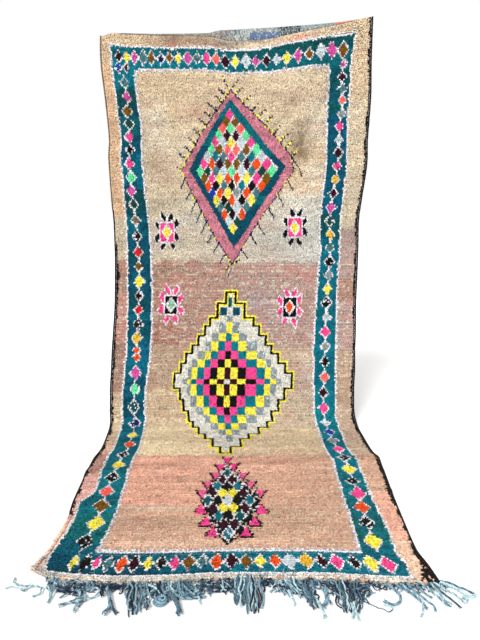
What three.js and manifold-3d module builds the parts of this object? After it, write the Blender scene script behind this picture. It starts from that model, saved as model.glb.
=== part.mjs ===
// A long hand-knotted wool rug. It hangs by its head and its foot lies on the floor in front.
// Millimetres. +X is to the right of someone facing the pile, -Y is towards them, +Z is up.
import * as THREE from 'three';
import { mergeVertices } from 'three/addons/utils/BufferGeometryUtils.js';
import Module from 'manifold-3d';

const wasm = await Module();
wasm.setup();

// Driving dimensions
const CLOTH_LENGTH = 3605;
const PILE_THICKNESS = 13;
const RIM_THICKNESS = 9;
const SELVEDGE_WIDTH = 10;
const SELVEDGE_THICKNESS = 12;
const WEB_THICKNESS = 7;
const STRIP_WIDTH = 12;
const STRIP_THICKNESS = 8;
const LOCK_WIDTH = 12;
const LOCK_HEIGHT = 7;
const TIP_SHARE = 0.5;
const SEAM = 0.3;

// How finely the sheet and the locks are divided
const CLOTH_ROWS = 62;
const CLOTH_COLUMNS = 24;
const RIM_COLUMNS = [0.012, 0.03];
const LOCK_STEPS = 4;

// The line of the cloth's back, and its two outer edges, where any of them turns.
// along: cloth below the highest point of the head. forward: away from the wall.
// left and right: from the middle of the view.
const SECTIONS = [
  { along: 0, forward: 0, height: 2322, left: -774, right: 738 },
  { along: 217, forward: 12, height: 2105, left: -786, right: 741 },
  { along: 426, forward: 19, height: 1896, left: -772, right: 749 },
  { along: 644, forward: 20, height: 1678, left: -763, right: 745 },
  { along: 756, forward: 20, height: 1566, left: -774, right: 750 },
  { along: 986, forward: 16, height: 1336, left: -773, right: 731 },
  { along: 1105, forward: 12, height: 1217, left: -768, right: 722 },
  { along: 1287, forward: 12, height: 1035, left: -772, right: 730 },
  { along: 1471, forward: 36, height: 854, left: -776, right: 727 },
  { along: 1604, forward: 66, height: 725, left: -778, right: 722 },
  { along: 1782, forward: 126, height: 557, left: -784, right: 716 },
  { along: 1908, forward: 166, height: 438, left: -790, right: 710 },
  { along: 2029, forward: 204, height: 323, left: -793, right: 707 },
  { along: 2152, forward: 237, height: 204, left: -799, right: 701 },
  { along: 2268, forward: 268, height: 92, left: -799, right: 701 },
  { along: 2348, forward: 311, height: 26, left: -791, right: 709 },
  { along: 2429, forward: 386, height: 0, left: -784, right: 715 },
  { along: 2648, forward: 605, height: 0, left: -770, right: 725 },
  { along: 2763, forward: 720, height: 0, left: -783, right: 741 },
  { along: 3113, forward: 1070, height: 0, left: -771, right: 719 },
  { along: 3263, forward: 1220, height: 0, left: -756, right: 711 },
  { along: 3443, forward: 1400, height: 0, left: -765, right: 704 },
  { along: 3543, forward: 1500, height: 0, left: -783, right: 722 },
  { along: 3700, forward: 1657, height: 0, left: -796, right: 741 },
];

// The head: how far each place hangs below the highest corner, and how tall the grey web is there.
const HEAD = [
  { across: 0, drop: 98, web: 0 },
  { across: 0.04, drop: 82, web: 0 },
  { across: 0.2, drop: 86, web: 9 },
  { across: 0.4, drop: 88, web: 12 },
  { across: 0.48, drop: 78, web: 46 },
  { across: 0.6, drop: 66, web: 50 },
  { across: 0.7, drop: 54, web: 34 },
  { across: 0.8, drop: 38, web: 22 },
  { across: 0.9, drop: 23, web: 9 },
  { across: 0.96, drop: 10, web: 0 },
  { across: 1, drop: 0, web: 0 },
];
const HEAD_FADE = 900;
const WEB_FROM = 0.07;
const WEB_TO = 0.93;
const WEB_LEAST = 6;

// The foot: how far each place runs on past the nominal length.
const FOOT = [
  { across: 0, reach: -22 },
  { across: 0.075, reach: 0 },
  { across: 0.226, reach: 17 },
  { across: 0.343, reach: 12 },
  { across: 0.49, reach: -2 },
  { across: 0.69, reach: -2 },
  { across: 0.88, reach: 17 },
  { across: 0.93, reach: 21 },
  { across: 1, reach: 12 },
];
const FOOT_FADE = 400;

// Soft folds: a trough has a negative rise. Each runs from one place of the cloth to another.
const FOLDS = [
  { fromAcross: 0.93, fromAlong: 190, toAcross: 0.72, toAlong: 760, width: 62, rise: -17 },
  { fromAcross: 0.83, fromAlong: 160, toAcross: 0.62, toAlong: 560, width: 58, rise: 9 },
  { fromAcross: 0.1, fromAlong: 420, toAcross: 0.3, toAlong: 1010, width: 66, rise: -12 },
  { fromAcross: 0.24, fromAlong: 300, toAcross: 0.4, toAlong: 700, width: 60, rise: 7 },
  { fromAcross: 0.06, fromAlong: 1560, toAcross: 0.2, toAlong: 2050, width: 70, rise: 9 },
  { fromAcross: 0.97, fromAlong: 1250, toAcross: 0.8, toAlong: 1800, width: 70, rise: -9 },
  { fromAcross: 0.3, fromAlong: 2090, toAcross: 0.75, toAlong: 2120, width: 60, rise: 9 },
  { fromAcross: 1, fromAlong: 2760, toAcross: 0.52, toAlong: 2830, width: 46, rise: 11 },
  { fromAcross: 0, fromAlong: 2900, toAcross: 0.24, toAlong: 2850, width: 46, rise: 9 },
];
const FOLD_CUT = 1.5;

// The corner at the left of the foot is turned up.
const CURL_RISE = 27;
const CURL_ACROSS = 70;
const CURL_ALONG = 170;

// Groups of locks along the foot. lean: degrees to the right. reach: mm beyond the strip.
const LOCKS = [
  { from: 0.062, to: 0.075, locks: 2, reach: 166, lean: -74, spread: 10, bow: 8 },
  { from: 0.08, to: 0.1, locks: 2, reach: 112, lean: -46, spread: 16, bow: 14 },
  { from: 0.105, to: 0.135, locks: 3, reach: 96, lean: -16, spread: 16, bow: -10 },
  { from: 0.14, to: 0.18, locks: 4, reach: 128, lean: -9, spread: 14, bow: 6 },
  { from: 0.185, to: 0.215, locks: 3, reach: 142, lean: 0, spread: 4, bow: 6 },
  { from: 0.22, to: 0.24, locks: 2, reach: 44, lean: 0, spread: 4, bow: 0 },
  { from: 0.245, to: 0.33, locks: 10, reach: 146, lean: -1, spread: 6, bow: 3 },
  { from: 0.335, to: 0.36, locks: 3, reach: 116, lean: 2, spread: 6, bow: -4 },
  { from: 0.365, to: 0.385, locks: 2, reach: 150, lean: 3, spread: 3, bow: 2 },
  { from: 0.39, to: 0.5, locks: 13, reach: 62, lean: 2, spread: 8, bow: 4 },
  { from: 0.505, to: 0.56, locks: 7, reach: 140, lean: 6, spread: 10, bow: 6 },
  { from: 0.565, to: 0.6, locks: 4, reach: 30, lean: 8, spread: 6, bow: 0 },
  { from: 0.605, to: 0.65, locks: 5, reach: 72, lean: 9, spread: 8, bow: 6 },
  { from: 0.655, to: 0.7, locks: 5, reach: 104, lean: 11, spread: 6, bow: 4 },
  { from: 0.705, to: 0.74, locks: 4, reach: 140, lean: 8, spread: 4, bow: 2 },
  { from: 0.745, to: 0.82, locks: 9, reach: 152, lean: 4, spread: 8, bow: 2 },
  { from: 0.83, to: 0.86, locks: 2, reach: 120, lean: 16, spread: 14, bow: 30 },
  { from: 0.87, to: 0.895, locks: 2, reach: 118, lean: 30, spread: 6, bow: -24 },
  { from: 0.9, to: 0.94, locks: 5, reach: 138, lean: 42, spread: 10, bow: 2 },
  { from: 0.945, to: 0.985, locks: 5, reach: 142, lean: 60, spread: 18, bow: 2 },
];
const STRIP_FROM = 0.055;
const STRIP_TO = 0.992;

// Finishes
const FINISHES = {
  pile: { color: 0xd2b08a, roughness: 0.95, metalness: 0 },
  selvedge: { color: 0x2c2020, roughness: 0.9, metalness: 0 },
  web: { color: 0x76858c, roughness: 0.92, metalness: 0 },
  fringe: { color: 0x5f7f90, roughness: 0.88, metalness: 0 },
};

const { clamp, lerp, smoothstep, degToRad } = THREE.MathUtils;

// A smooth curve through one column of a table that never swings past its rows.
function read(table, key, column, at) {
  const last = table.length - 2;
  let i = 0;
  while (i < last && table[i + 1][key] < at) i += 1;
  const secant = (k) => (table[k + 1][column] - table[k][column]) / (table[k + 1][key] - table[k][key]);
  const slope = (k) => {
    if (k === 0) return secant(0);
    if (k === last + 1) return secant(last);
    const before = secant(k - 1);
    const after = secant(k);
    return before * after > 0 ? (2 * before * after) / (before + after) : 0;
  };
  const step = table[i + 1][key] - table[i][key];
  const t = clamp((at - table[i][key]) / step, 0, 1);
  const rise = table[i + 1][column] - table[i][column];
  const start = step * slope(i);
  const end = step * slope(i + 1);
  return table[i][column] + start * t + (3 * rise - 2 * start - end) * t * t
    + (start + end - 2 * rise) * t * t * t;
}

// How far a place of the cloth stands out of the plain line, by its folds and its turned-up corner.
function relief(across, along) {
  const width = read(SECTIONS, 'along', 'right', along) - read(SECTIONS, 'along', 'left', along);
  let sum = 0;
  for (const fold of FOLDS) {
    const runX = (fold.toAcross - fold.fromAcross) * width;
    const runY = fold.toAlong - fold.fromAlong;
    const x = (across - fold.fromAcross) * width;
    const y = along - fold.fromAlong;
    const share = clamp((x * runX + y * runY) / (runX * runX + runY * runY), 0, 1);
    const away = Math.hypot(x - share * runX, y - share * runY) / fold.width;
    sum += fold.rise * Math.exp(-away * away);
  }
  const lying = smoothstep(along, 2330, 2400);
  const raised = sum > FOLD_CUT ? sum - FOLD_CUT : 0;
  const edge = clamp(1 - (across * width) / CURL_ACROSS, 0, 1.2);
  const end = clamp((along - (CLOTH_LENGTH - CURL_ALONG)) / CURL_ALONG, 0, 1);
  return lerp(sum, raised, lying) + CURL_RISE * edge * edge * end * end;
}

// A point of the cloth. lift is measured off its back, outset from its own edge, outwards.
function place(across, along, lift, outset = 0) {
  const inner = SELVEDGE_WIDTH + SEAM;
  const left = read(SECTIONS, 'along', 'left', along) + inner;
  const right = read(SECTIONS, 'along', 'right', along) - inner;
  const step = 1;
  const forward = read(SECTIONS, 'along', 'forward', along);
  const height = read(SECTIONS, 'along', 'height', along);
  const runForward = read(SECTIONS, 'along', 'forward', along + step) - forward;
  const runDown = height - read(SECTIONS, 'along', 'height', along + step);
  const run = Math.hypot(runForward, runDown);
  const raise = lift + relief(across, along);
  const side = across < 0.5 ? -outset : outset;
  return new THREE.Vector3(
    lerp(left, right, across) + side,
    -(forward + (raise * runDown) / run),
    height + (raise * runForward) / run,
  );
}

// Where a row of the weaving lies, counted from 0 at the head to 1 at the foot.
function rowAlong(across, row, headOffset) {
  const plain = row * CLOTH_LENGTH;
  const headFade = clamp(1 - plain / HEAD_FADE, 0, 1) ** 2;
  const footFade = clamp(1 - (CLOTH_LENGTH - plain) / FOOT_FADE, 0, 1);
  return plain + headOffset * headFade + read(FOOT, 'across', 'reach', across) * footFade;
}

function webHeight(across) {
  return Math.max(read(HEAD, 'across', 'web', across), WEB_LEAST);
}

function pileHead(across) {
  const drop = read(HEAD, 'across', 'drop', across);
  const covered = across > WEB_FROM - 0.001 && across < WEB_TO + 0.001;
  return covered ? drop + webHeight(across) : drop;
}

function stations() {
  const even = Array.from({ length: CLOTH_COLUMNS - 1 }, (_, i) => (i + 1) / CLOTH_COLUMNS);
  const rims = RIM_COLUMNS.flatMap((rim) => [rim, 1 - rim]);
  return [0, ...even, ...rims, WEB_FROM, WEB_TO, 1].sort((a, b) => a - b);
}

// A closed body from rings of points, each ring going round the body once.
function loft(rings, capFaces) {
  const sides = rings[0].length;
  const positions = rings.flat().flatMap((point) => [point.x, point.y, point.z]);
  const index = [];
  for (let j = 0; j < rings.length - 1; j += 1) {
    for (let k = 0; k < sides; k += 1) {
      const a = j * sides + k;
      const b = j * sides + ((k + 1) % sides);
      index.push(a, b, b + sides, a, b + sides, a + sides);
    }
  }
  const end = (rings.length - 1) * sides;
  for (const [a, b, c] of capFaces(sides)) {
    index.push(c, b, a, end + a, end + b, end + c);
  }
  const geometry = new THREE.BufferGeometry();
  geometry.setAttribute('position', new THREE.Float32BufferAttribute(positions, 3));
  geometry.setIndex(index);
  return facingOut(geometry);
}

function fanCap(sides) {
  return Array.from({ length: sides - 2 }, (_, k) => [0, k + 1, k + 2]);
}

// The end of a sheet's ring: a strip of quads between its front half and its back half.
function stripCap(sides) {
  const faces = [];
  for (let k = 0; k < sides / 2 - 1; k += 1) {
    const back = sides - 1 - k;
    faces.push([k, k + 1, back - 1], [k, back - 1, back]);
  }
  return faces;
}

// Turns a body inside out if its faces point inwards.
function facingOut(geometry) {
  const position = geometry.attributes.position;
  const index = geometry.index.array;
  const a = new THREE.Vector3();
  const b = new THREE.Vector3();
  const c = new THREE.Vector3();
  let volume = 0;
  for (let i = 0; i < index.length; i += 3) {
    a.fromBufferAttribute(position, index[i]);
    b.fromBufferAttribute(position, index[i + 1]);
    c.fromBufferAttribute(position, index[i + 2]);
    volume += a.dot(b.cross(c));
  }
  if (volume < 0) {
    for (let i = 0; i < index.length; i += 3) [index[i], index[i + 1]] = [index[i + 1], index[i]];
  }
  geometry.computeVertexNormals();
  return geometry;
}

// The knotted cloth, with its pile, as one sheet with rounded rims.
function rugPile() {
  const columns = stations();
  const rings = [];
  for (let row = 0; row <= CLOTH_ROWS; row += 1) {
    const rim = row === 0 || row === CLOTH_ROWS;
    const at = (across) => rowAlong(across, row / CLOTH_ROWS, pileHead(across));
    const front = columns.map((across) => {
      const onRim = rim || across === 0 || across === 1;
      return place(across, at(across), onRim ? RIM_THICKNESS : PILE_THICKNESS);
    });
    const back = columns.map((across) => place(across, at(across), 0)).reverse();
    rings.push([...front, ...back]);
  }
  return loft(rings, stripCap);
}

// One overcast edge, an oval cord down the side of the cloth.
function selvedge(across) {
  const section = [
    { outset: SEAM, lift: 0 },
    { outset: SELVEDGE_WIDTH * 0.8, lift: 0 },
    { outset: SELVEDGE_WIDTH, lift: SELVEDGE_THICKNESS * 0.45 },
    { outset: SELVEDGE_WIDTH * 0.75, lift: SELVEDGE_THICKNESS * 0.9 },
    { outset: SELVEDGE_WIDTH * 0.4, lift: SELVEDGE_THICKNESS },
    { outset: SEAM, lift: SELVEDGE_THICKNESS * 0.85 },
  ];
  const rings = [];
  for (let row = 0; row <= CLOTH_ROWS; row += 1) {
    const along = rowAlong(across, row / CLOTH_ROWS, pileHead(across));
    rings.push(section.map(({ outset, lift }) => place(across, along, lift, outset)));
  }
  return loft(rings, fanCap);
}

// The grey web above the first row of knots, a wedge from its thin ends to its tall middle.
function headWeb() {
  const columns = stations().filter((across) => across >= WEB_FROM && across <= WEB_TO);
  const rings = columns.map((across) => {
    const top = read(HEAD, 'across', 'drop', across);
    const bottom = top + webHeight(across) - SEAM;
    return [
      place(across, top, WEB_THICKNESS * 0.75),
      place(across, (top + bottom) / 2, WEB_THICKNESS),
      place(across, bottom, WEB_THICKNESS),
      place(across, bottom, 0),
      place(across, (top + bottom) / 2, 0),
      place(across, top, 0),
    ];
  });
  return loft(rings, fanCap);
}

function footAlong(across) {
  return rowAlong(across, 1, 0);
}

// The knotted strip beyond the last row, which the locks grow out of.
function fringeStrip() {
  const inside = stations().filter((across) => across > STRIP_FROM && across < STRIP_TO);
  const rings = [STRIP_FROM, ...inside, STRIP_TO].map((across) => {
    const near = footAlong(across) + SEAM;
    return [
      place(across, near, 0),
      place(across, near, STRIP_THICKNESS),
      place(across, near + STRIP_WIDTH * 0.7, STRIP_THICKNESS * 0.9),
      place(across, near + STRIP_WIDTH, 0),
    ];
  });
  return loft(rings, fanCap);
}

// One lock: a three-sided strand that lies flat on the floor and narrows to its tip.
function lock(across, reach, lean, bow) {
  const rings = [];
  const root = place(across, footAlong(across) + SEAM + STRIP_WIDTH * 0.4, 0);
  const at = root.clone();
  for (let step = 0; step <= LOCK_STEPS; step += 1) {
    const share = step / LOCK_STEPS;
    const heading = degToRad(lean + bow * Math.sin(share * Math.PI * 1.5));
    const ahead = new THREE.Vector3(Math.sin(heading), -Math.cos(heading), 0);
    if (step > 0) at.addScaledVector(ahead, reach / LOCK_STEPS);
    const size = lerp(1, TIP_SHARE, share);
    const beside = new THREE.Vector3(-ahead.y, ahead.x, 0).multiplyScalar((size * LOCK_WIDTH) / 2);
    const ridge = at.clone().setZ(size * LOCK_HEIGHT);
    rings.push([at.clone().sub(beside), at.clone().add(beside), ridge]);
  }
  return loft(rings, fanCap);
}

function solid(geometry) {
  const bare = new THREE.BufferGeometry();
  bare.setAttribute('position', geometry.attributes.position.clone());
  bare.setIndex(geometry.index.clone());
  const merged = mergeVertices(bare);
  const mesh = new wasm.Mesh({
    numProp: 3,
    vertProperties: merged.attributes.position.array,
    triVerts: Uint32Array.from(merged.index.array),
  });
  return new wasm.Manifold(mesh);
}

function surface(body) {
  const mesh = body.getMesh();
  const geometry = new THREE.BufferGeometry();
  geometry.setAttribute('position', new THREE.Float32BufferAttribute(mesh.vertProperties, 3));
  geometry.setIndex(Array.from(mesh.triVerts));
  geometry.computeVertexNormals();
  return geometry;
}

// The warp ends and rag locks, fused at their roots into the strip.
function warpFringe() {
  let body = solid(fringeStrip());
  for (const group of LOCKS) {
    for (let i = 0; i < group.locks; i += 1) {
      const share = group.locks > 1 ? i / (group.locks - 1) : 0.5;
      const across = lerp(group.from, group.to, share);
      const uneven = 0.9 + 0.1 * Math.cos(i * 2.4 + group.reach);
      const lean = group.lean + group.spread * (share - 0.5);
      body = body.add(solid(lock(across, group.reach * uneven, lean, group.bow)));
    }
  }
  return surface(body);
}

function piece(name, geometry, finish) {
  const mesh = new THREE.Mesh(geometry, new THREE.MeshStandardMaterial(finish));
  mesh.name = name;
  return mesh;
}

// The rug, with its origin on the floor under the middle of its outer box.
function rug() {
  const cloth = new THREE.Group();
  cloth.add(
    piece('rug_pile', rugPile(), FINISHES.pile),
    piece('selvedge_left', selvedge(0), FINISHES.selvedge),
    piece('selvedge_right', selvedge(1), FINISHES.selvedge),
    piece('head_web', headWeb(), FINISHES.web),
    piece('warp_fringe', warpFringe(), FINISHES.fringe),
  );
  const middle = new THREE.Box3().setFromObject(cloth).getCenter(new THREE.Vector3());
  cloth.position.set(-middle.x, -middle.y, 0);
  return new THREE.Group().add(cloth);
}

export default rug();
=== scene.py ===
# %% [markdown]
# A long hand-knotted wool rug that hangs by its head, with its foot lying on the floor.
# The imported part is loaded first, as a fixed frame, and everything here is built round it in metres.

# %% Load the imported rug
import math

import bmesh
import bpy
import numpy as np
from mathutils import Matrix, Vector


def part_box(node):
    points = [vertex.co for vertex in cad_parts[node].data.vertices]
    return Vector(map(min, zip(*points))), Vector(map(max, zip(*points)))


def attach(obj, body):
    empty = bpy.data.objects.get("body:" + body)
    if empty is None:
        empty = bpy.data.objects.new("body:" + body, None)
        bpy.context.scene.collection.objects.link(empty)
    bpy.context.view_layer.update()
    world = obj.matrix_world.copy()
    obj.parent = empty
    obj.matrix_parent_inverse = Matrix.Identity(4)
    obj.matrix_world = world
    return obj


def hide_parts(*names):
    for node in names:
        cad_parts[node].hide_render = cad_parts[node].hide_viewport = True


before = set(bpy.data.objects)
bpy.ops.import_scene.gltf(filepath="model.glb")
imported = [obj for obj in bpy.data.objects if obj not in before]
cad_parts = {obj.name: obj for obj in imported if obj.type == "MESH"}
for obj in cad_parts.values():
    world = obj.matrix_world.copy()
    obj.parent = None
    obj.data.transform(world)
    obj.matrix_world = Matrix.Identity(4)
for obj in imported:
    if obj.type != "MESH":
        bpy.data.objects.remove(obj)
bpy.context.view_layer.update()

MM = 0.001

# %% [markdown]
# The camera stands where the picture was taken from: 3.1 m in front of the wall and 1.39 m up, as if
# held at the chest, and tipped down so that the foot of the rug spreads towards it. It comes first,
# so that every later look is made from the same place. Its numbers have names, because the paths of
# the fringe's cords are worked out from them. The key light is a wide, soft sun from the upper left, which
# rakes the wool enough to show its rows and folds. Two area lamps fill the shadows.
# Area lamps could do it alone, but a sun lights the far floor as well, so no horizon shows.

# %% Camera and lamps
PICTURE_WIDE, PICTURE_TALL = 480, 640
CAMERA_AT = (-0.006, -2.243, 1.39)
CAMERA_TIPPED = 14.5
LENS_MM, SENSOR_MM = 28.125, 36

def add_object(name, data):
    made = bpy.data.objects.new(name, data)
    bpy.context.scene.collection.objects.link(made)
    return made

camera_data = bpy.data.cameras.new("camera")
camera_data.lens = LENS_MM
camera_data.sensor_width = SENSOR_MM
camera = add_object("camera", camera_data)
camera.location = CAMERA_AT
camera.rotation_euler = (math.radians(90 - CAMERA_TIPPED), 0, 0)
bpy.context.scene.camera = camera
bpy.context.scene.view_settings.view_transform = "Standard"

def lamp(name, kind, place_at, aim, size, power):
    data = bpy.data.lights.new(name, kind)
    data.energy = power
    if kind == "SUN":
        data.angle = math.radians(size)
    else:
        data.shape = "DISK"
        data.size = size
    made = add_object(name, data)
    made.location = place_at
    made.rotation_euler = (Vector(aim) - Vector(place_at)).to_track_quat("-Z", "Y").to_euler()

lamp("key_sun", "SUN", (-2.0, -2.3, 4.4), (0, 0.2, 0.9), 26, 3.3)
lamp("fill_lamp", "AREA", (2.6, -2.8, 2.2), (0, 0.2, 0.8), 1.8, 34)
lamp("back_lamp", "AREA", (1.2, 4.2, 3.0), (0, 0.6, 1.0), 1.8, 60)
print("camera at", tuple(round(value, 3) for value in camera.location))

# %% [markdown]
# Colours are written as the sRGB hex values that a dyer's card would show, and one function turns
# them to the linear values that Blender works in. One other function adds a node to a material with
# its settings and its links, so that each material reads as a short list of what it is made of.

# %% Colour and node helpers
def linear(hex_value):
    parts = np.array([int(hex_value[i:i + 2], 16) for i in (1, 3, 5)]) / 255
    return np.where(parts <= 0.04045, parts / 12.92, ((parts + 0.055) / 1.055) ** 2.4)

def node(tree, kind, settings=None, inputs=None):
    made = tree.nodes.new("ShaderNode" + kind)
    for key, value in (settings or {}).items():
        setattr(made, key, value)
    for key, value in (inputs or {}).items():
        if isinstance(value, bpy.types.NodeSocket):
            tree.links.new(value, made.inputs[key])
        else:
            made.inputs[key].default_value = value
    return made

def new_material(name):
    made = bpy.data.materials.new(name)
    made.use_nodes = True
    made.node_tree.nodes.clear()
    return made, made.node_tree

print("black is", linear("#000000"), "and white is", linear("#ffffff"))

# %% [markdown]
# The world is plain white where the camera sees it, and a little dimmer as a light, which leaves
# room for the key light to shape the wool. The floor lies a hair below the rug, so no faces meet.

# %% White world and floor
FLOOR_GAP = 0.0015

world = bpy.data.worlds.new("studio")
bpy.context.scene.world = world
world.use_nodes = True
tree = world.node_tree
tree.nodes.clear()
ray = node(tree, "LightPath")
glow = node(tree, "Background", inputs={"Color": (1, 1, 1, 1), "Strength": 0.6})
backdrop = node(tree, "Background", inputs={"Color": (1, 1, 1, 1), "Strength": 1.0})
chosen = node(tree, "MixShader", inputs={
    0: ray.outputs["Is Camera Ray"], 1: glow.outputs["Background"], 2: backdrop.outputs["Background"]})
node(tree, "OutputWorld", inputs={"Surface": chosen.outputs["Shader"]})

floor_material, tree = new_material("white_painted_floor")
grain = node(tree, "TexNoise", inputs={"Scale": 3.0, "Detail": 3.0})
shade = node(tree, "ValToRGB", inputs={"Fac": grain.outputs["Fac"]})
shade.color_ramp.elements[0].color = (*linear("#f3f3f2"), 1)
shade.color_ramp.elements[1].color = (*linear("#f8f8f7"), 1)
paint = node(tree, "BsdfPrincipled", inputs={"Base Color": shade.outputs["Color"], "Roughness": 0.7})
node(tree, "OutputMaterial", inputs={"Surface": paint.outputs["BSDF"]})

bm = bmesh.new()
bmesh.ops.create_grid(bm, x_segments=4, y_segments=4, size=20)
bmesh.ops.translate(bm, vec=(0, 0, -FLOOR_GAP), verts=bm.verts)
floor_mesh = bpy.data.meshes.new("floor")
bm.to_mesh(floor_mesh)
bm.free()
floor = add_object("floor", floor_mesh)
floor_mesh.materials.append(floor_material)
print("floor laid", FLOOR_GAP / MM, "mm below the rug")

# %% [markdown]
# The rug is one sheet of cloth. Its back follows a line down the wall, out in a slack curve above the
# floor, and forward along the floor. The table gives that line and both edges wherever one turns.
# It repeats the solid's own table, because the looks have to lie on the solid's folds. That table was
# measured on the picture, through the perspective of the camera, and then smoothed.
# A smooth curve runs through each column and never swings past its rows.

# %% The line of the cloth and its edges
# along the cloth, forward of the wall, height, left edge, right edge
SECTIONS = np.array([
    (0, 0, 2322, -774, 738), (217, 12, 2105, -786, 741), (426, 19, 1896, -772, 749),
    (644, 20, 1678, -763, 745), (756, 20, 1566, -774, 750), (986, 16, 1336, -773, 731),
    (1105, 12, 1217, -768, 722), (1287, 12, 1035, -772, 730), (1471, 36, 854, -776, 727),
    (1604, 66, 725, -778, 722), (1782, 126, 557, -784, 716), (1908, 166, 438, -790, 710),
    (2029, 204, 323, -793, 707), (2152, 237, 204, -799, 701), (2268, 268, 92, -799, 701),
    (2348, 311, 26, -791, 709), (2429, 386, 0, -784, 715), (2648, 605, 0, -770, 725),
    (2763, 720, 0, -783, 741), (3113, 1070, 0, -771, 719), (3263, 1220, 0, -756, 711),
    (3443, 1400, 0, -765, 704), (3543, 1500, 0, -783, 722), (3700, 1657, 0, -796, 741),
], float)
FORWARD, HEIGHT, LEFT, RIGHT = 1, 2, 3, 4

def read(table, column, at):
    keys, values = table[:, 0], table[:, column]
    secant = np.diff(values) / np.diff(keys)
    before, after = secant[:-1], secant[1:]
    both = before * after > 0
    middle = np.where(both, 2 * before * after / np.where(both, before + after, 1), 0)
    slope = np.concatenate([secant[:1], middle, secant[-1:]])
    i = np.clip(np.searchsorted(keys, at, side="left") - 1, 0, len(keys) - 2)
    step = keys[i + 1] - keys[i]
    t = np.clip((at - keys[i]) / step, 0, 1)
    rise, start, end = values[i + 1] - values[i], step * slope[i], step * slope[i + 1]
    return (values[i] + start * t + (3 * rise - 2 * start - end) * t ** 2
            + (start + end - 2 * rise) * t ** 3)

print("sections of the cloth", len(SECTIONS))

# %% [markdown]
# Wool this heavy folds softly. Each fold is a ridge or a trough along a line on the cloth, placed where the
# real one shows: drag lines from the two top corners, creases across the slack curve.
# The first rows are the folds of the solid. The rest are finer creases, which only this model has.
# On the floor only the ridges stay. The left corner of the foot is turned up.

# %% Folds and the turned-up corner
CLOTH_LENGTH = 3605.0
EDGE_ROOM = 10.3
# from across, from along, to across, to along, width, rise
FOLDS = (
    (0.93, 190, 0.72, 760, 46, -22), (0.83, 160, 0.62, 560, 44, 14), (0.1, 420, 0.3, 1010, 52, -16),
    (0.24, 300, 0.4, 700, 58, 9), (0.06, 1560, 0.2, 2050, 66, 11), (0.97, 1250, 0.8, 1800, 66, -11),
    (0.3, 2090, 0.75, 2120, 56, 10), (1, 2760, 0.52, 2830, 44, 13), (0, 2900, 0.24, 2850, 44, 11),
    (0.99, 560, 0.7, 900, 24, 6), (0.97, 470, 0.86, 560, 22, -6), (0.13, 1342, 0.5, 1356, 17, 5),
    (0.55, 1350, 0.93, 1322, 19, 5), (0.16, 1010, 0.11, 1330, 28, -6), (0, 700, 0.13, 770, 22, 5),
    (0.08, 2545, 0.44, 2588, 22, 6), (0.9, 2380, 0.66, 2460, 26, 5), (1, 3050, 0.82, 3010, 26, 6),
    (0.95, 60, 0.8, 132, 13, 6), (0.93, 1960, 1, 1900, 24, -5), (0.05, 3160, 0.3, 3120, 24, 5),
)

def smoothstep(value, low, high):
    t = np.clip((value - low) / (high - low), 0, 1)
    return t * t * (3 - 2 * t)

def relief(across, along):
    width = read(SECTIONS, RIGHT, along) - read(SECTIONS, LEFT, along)
    total = 0.0
    for from_across, from_along, to_across, to_along, fold_width, rise in FOLDS:
        run_x, run_y = (to_across - from_across) * width, to_along - from_along
        x, y = (across - from_across) * width, along - from_along
        share = np.clip((x * run_x + y * run_y) / (run_x ** 2 + run_y ** 2), 0, 1)
        away = np.hypot(x - share * run_x, y - share * run_y) / fold_width
        total = total + rise * np.exp(-away ** 2)
    lying = smoothstep(along, 2330, 2400)
    total = total * (1 - lying) + np.maximum(total - 1.5, 0) * lying
    edge = np.clip(1 - across * width / 70, 0, 1.2)
    end = np.clip((along - (CLOTH_LENGTH - 170)) / 170, 0, 1)
    return total + 27 * edge ** 2 * end ** 2

# The frame's origin is under the middle of the whole part, so the table is shifted by its boxes.
SHIFT = np.array([
    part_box("rug_pile")[0].x - (SECTIONS[:, LEFT].min() + EDGE_ROOM) * MM,
    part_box("selvedge_right")[1].y, 0])
print("shift of the tables", SHIFT.round(4))

def place(across, along, lift, outset=0.0):
    left = read(SECTIONS, LEFT, along) + EDGE_ROOM
    right = read(SECTIONS, RIGHT, along) - EDGE_ROOM
    forward, height = read(SECTIONS, FORWARD, along), read(SECTIONS, HEIGHT, along)
    run_forward = read(SECTIONS, FORWARD, along + 1) - forward
    run_down = height - read(SECTIONS, HEIGHT, along + 1)
    run = np.hypot(run_forward, run_down)
    raised = lift + relief(across, along)
    x = left + (right - left) * across + np.where(across < 0.5, -outset, outset)
    y = -(forward + raised * run_down / run)
    z = height + raised * run_forward / run
    return np.stack(np.broadcast_arrays(x, y, z), -1) * MM + SHIFT

# %% [markdown]
# The head isn't level: its right corner was pulled up, and a grey web stands above the first knots
# in its middle, where it reaches about 16 mm higher than the solid's own web does. The foot isn't
# straight either. Both run out over a few hundred millimetres of cloth, so rows of knots in the
# middle of the rug lie level.

# %% Head, foot and rows
# across, drop below the highest corner, height of the web
HEAD = np.array([
    (0, 98, 0), (0.04, 82, 0), (0.2, 86, 9), (0.39, 82, 18), (0.44, 68, 44), (0.48, 65, 59), (0.6, 56, 60),
    (0.7, 47, 41), (0.8, 36, 24), (0.9, 23, 9), (0.96, 10, 0), (1, 0, 0)], float)
# across, reach past the nominal length
FOOT = np.array([
    (0, -22), (0.075, 0), (0.226, 17), (0.343, 12), (0.49, -2), (0.69, -2), (0.88, 17),
    (0.93, 21), (1, 12)], float)
WEB_FROM, WEB_TO = 0.07, 0.93
HEAD_RUNS_OUT, FOOT_RUNS_OUT = 900, 400

def head_drop(across):
    return read(HEAD, 1, across)

def web_height(across):
    return np.maximum(read(HEAD, 2, across), 6)

def pile_head(across):
    covered = (across > WEB_FROM - 0.001) & (across < WEB_TO + 0.001)
    return head_drop(across) + np.where(covered, web_height(across), 0)

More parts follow.
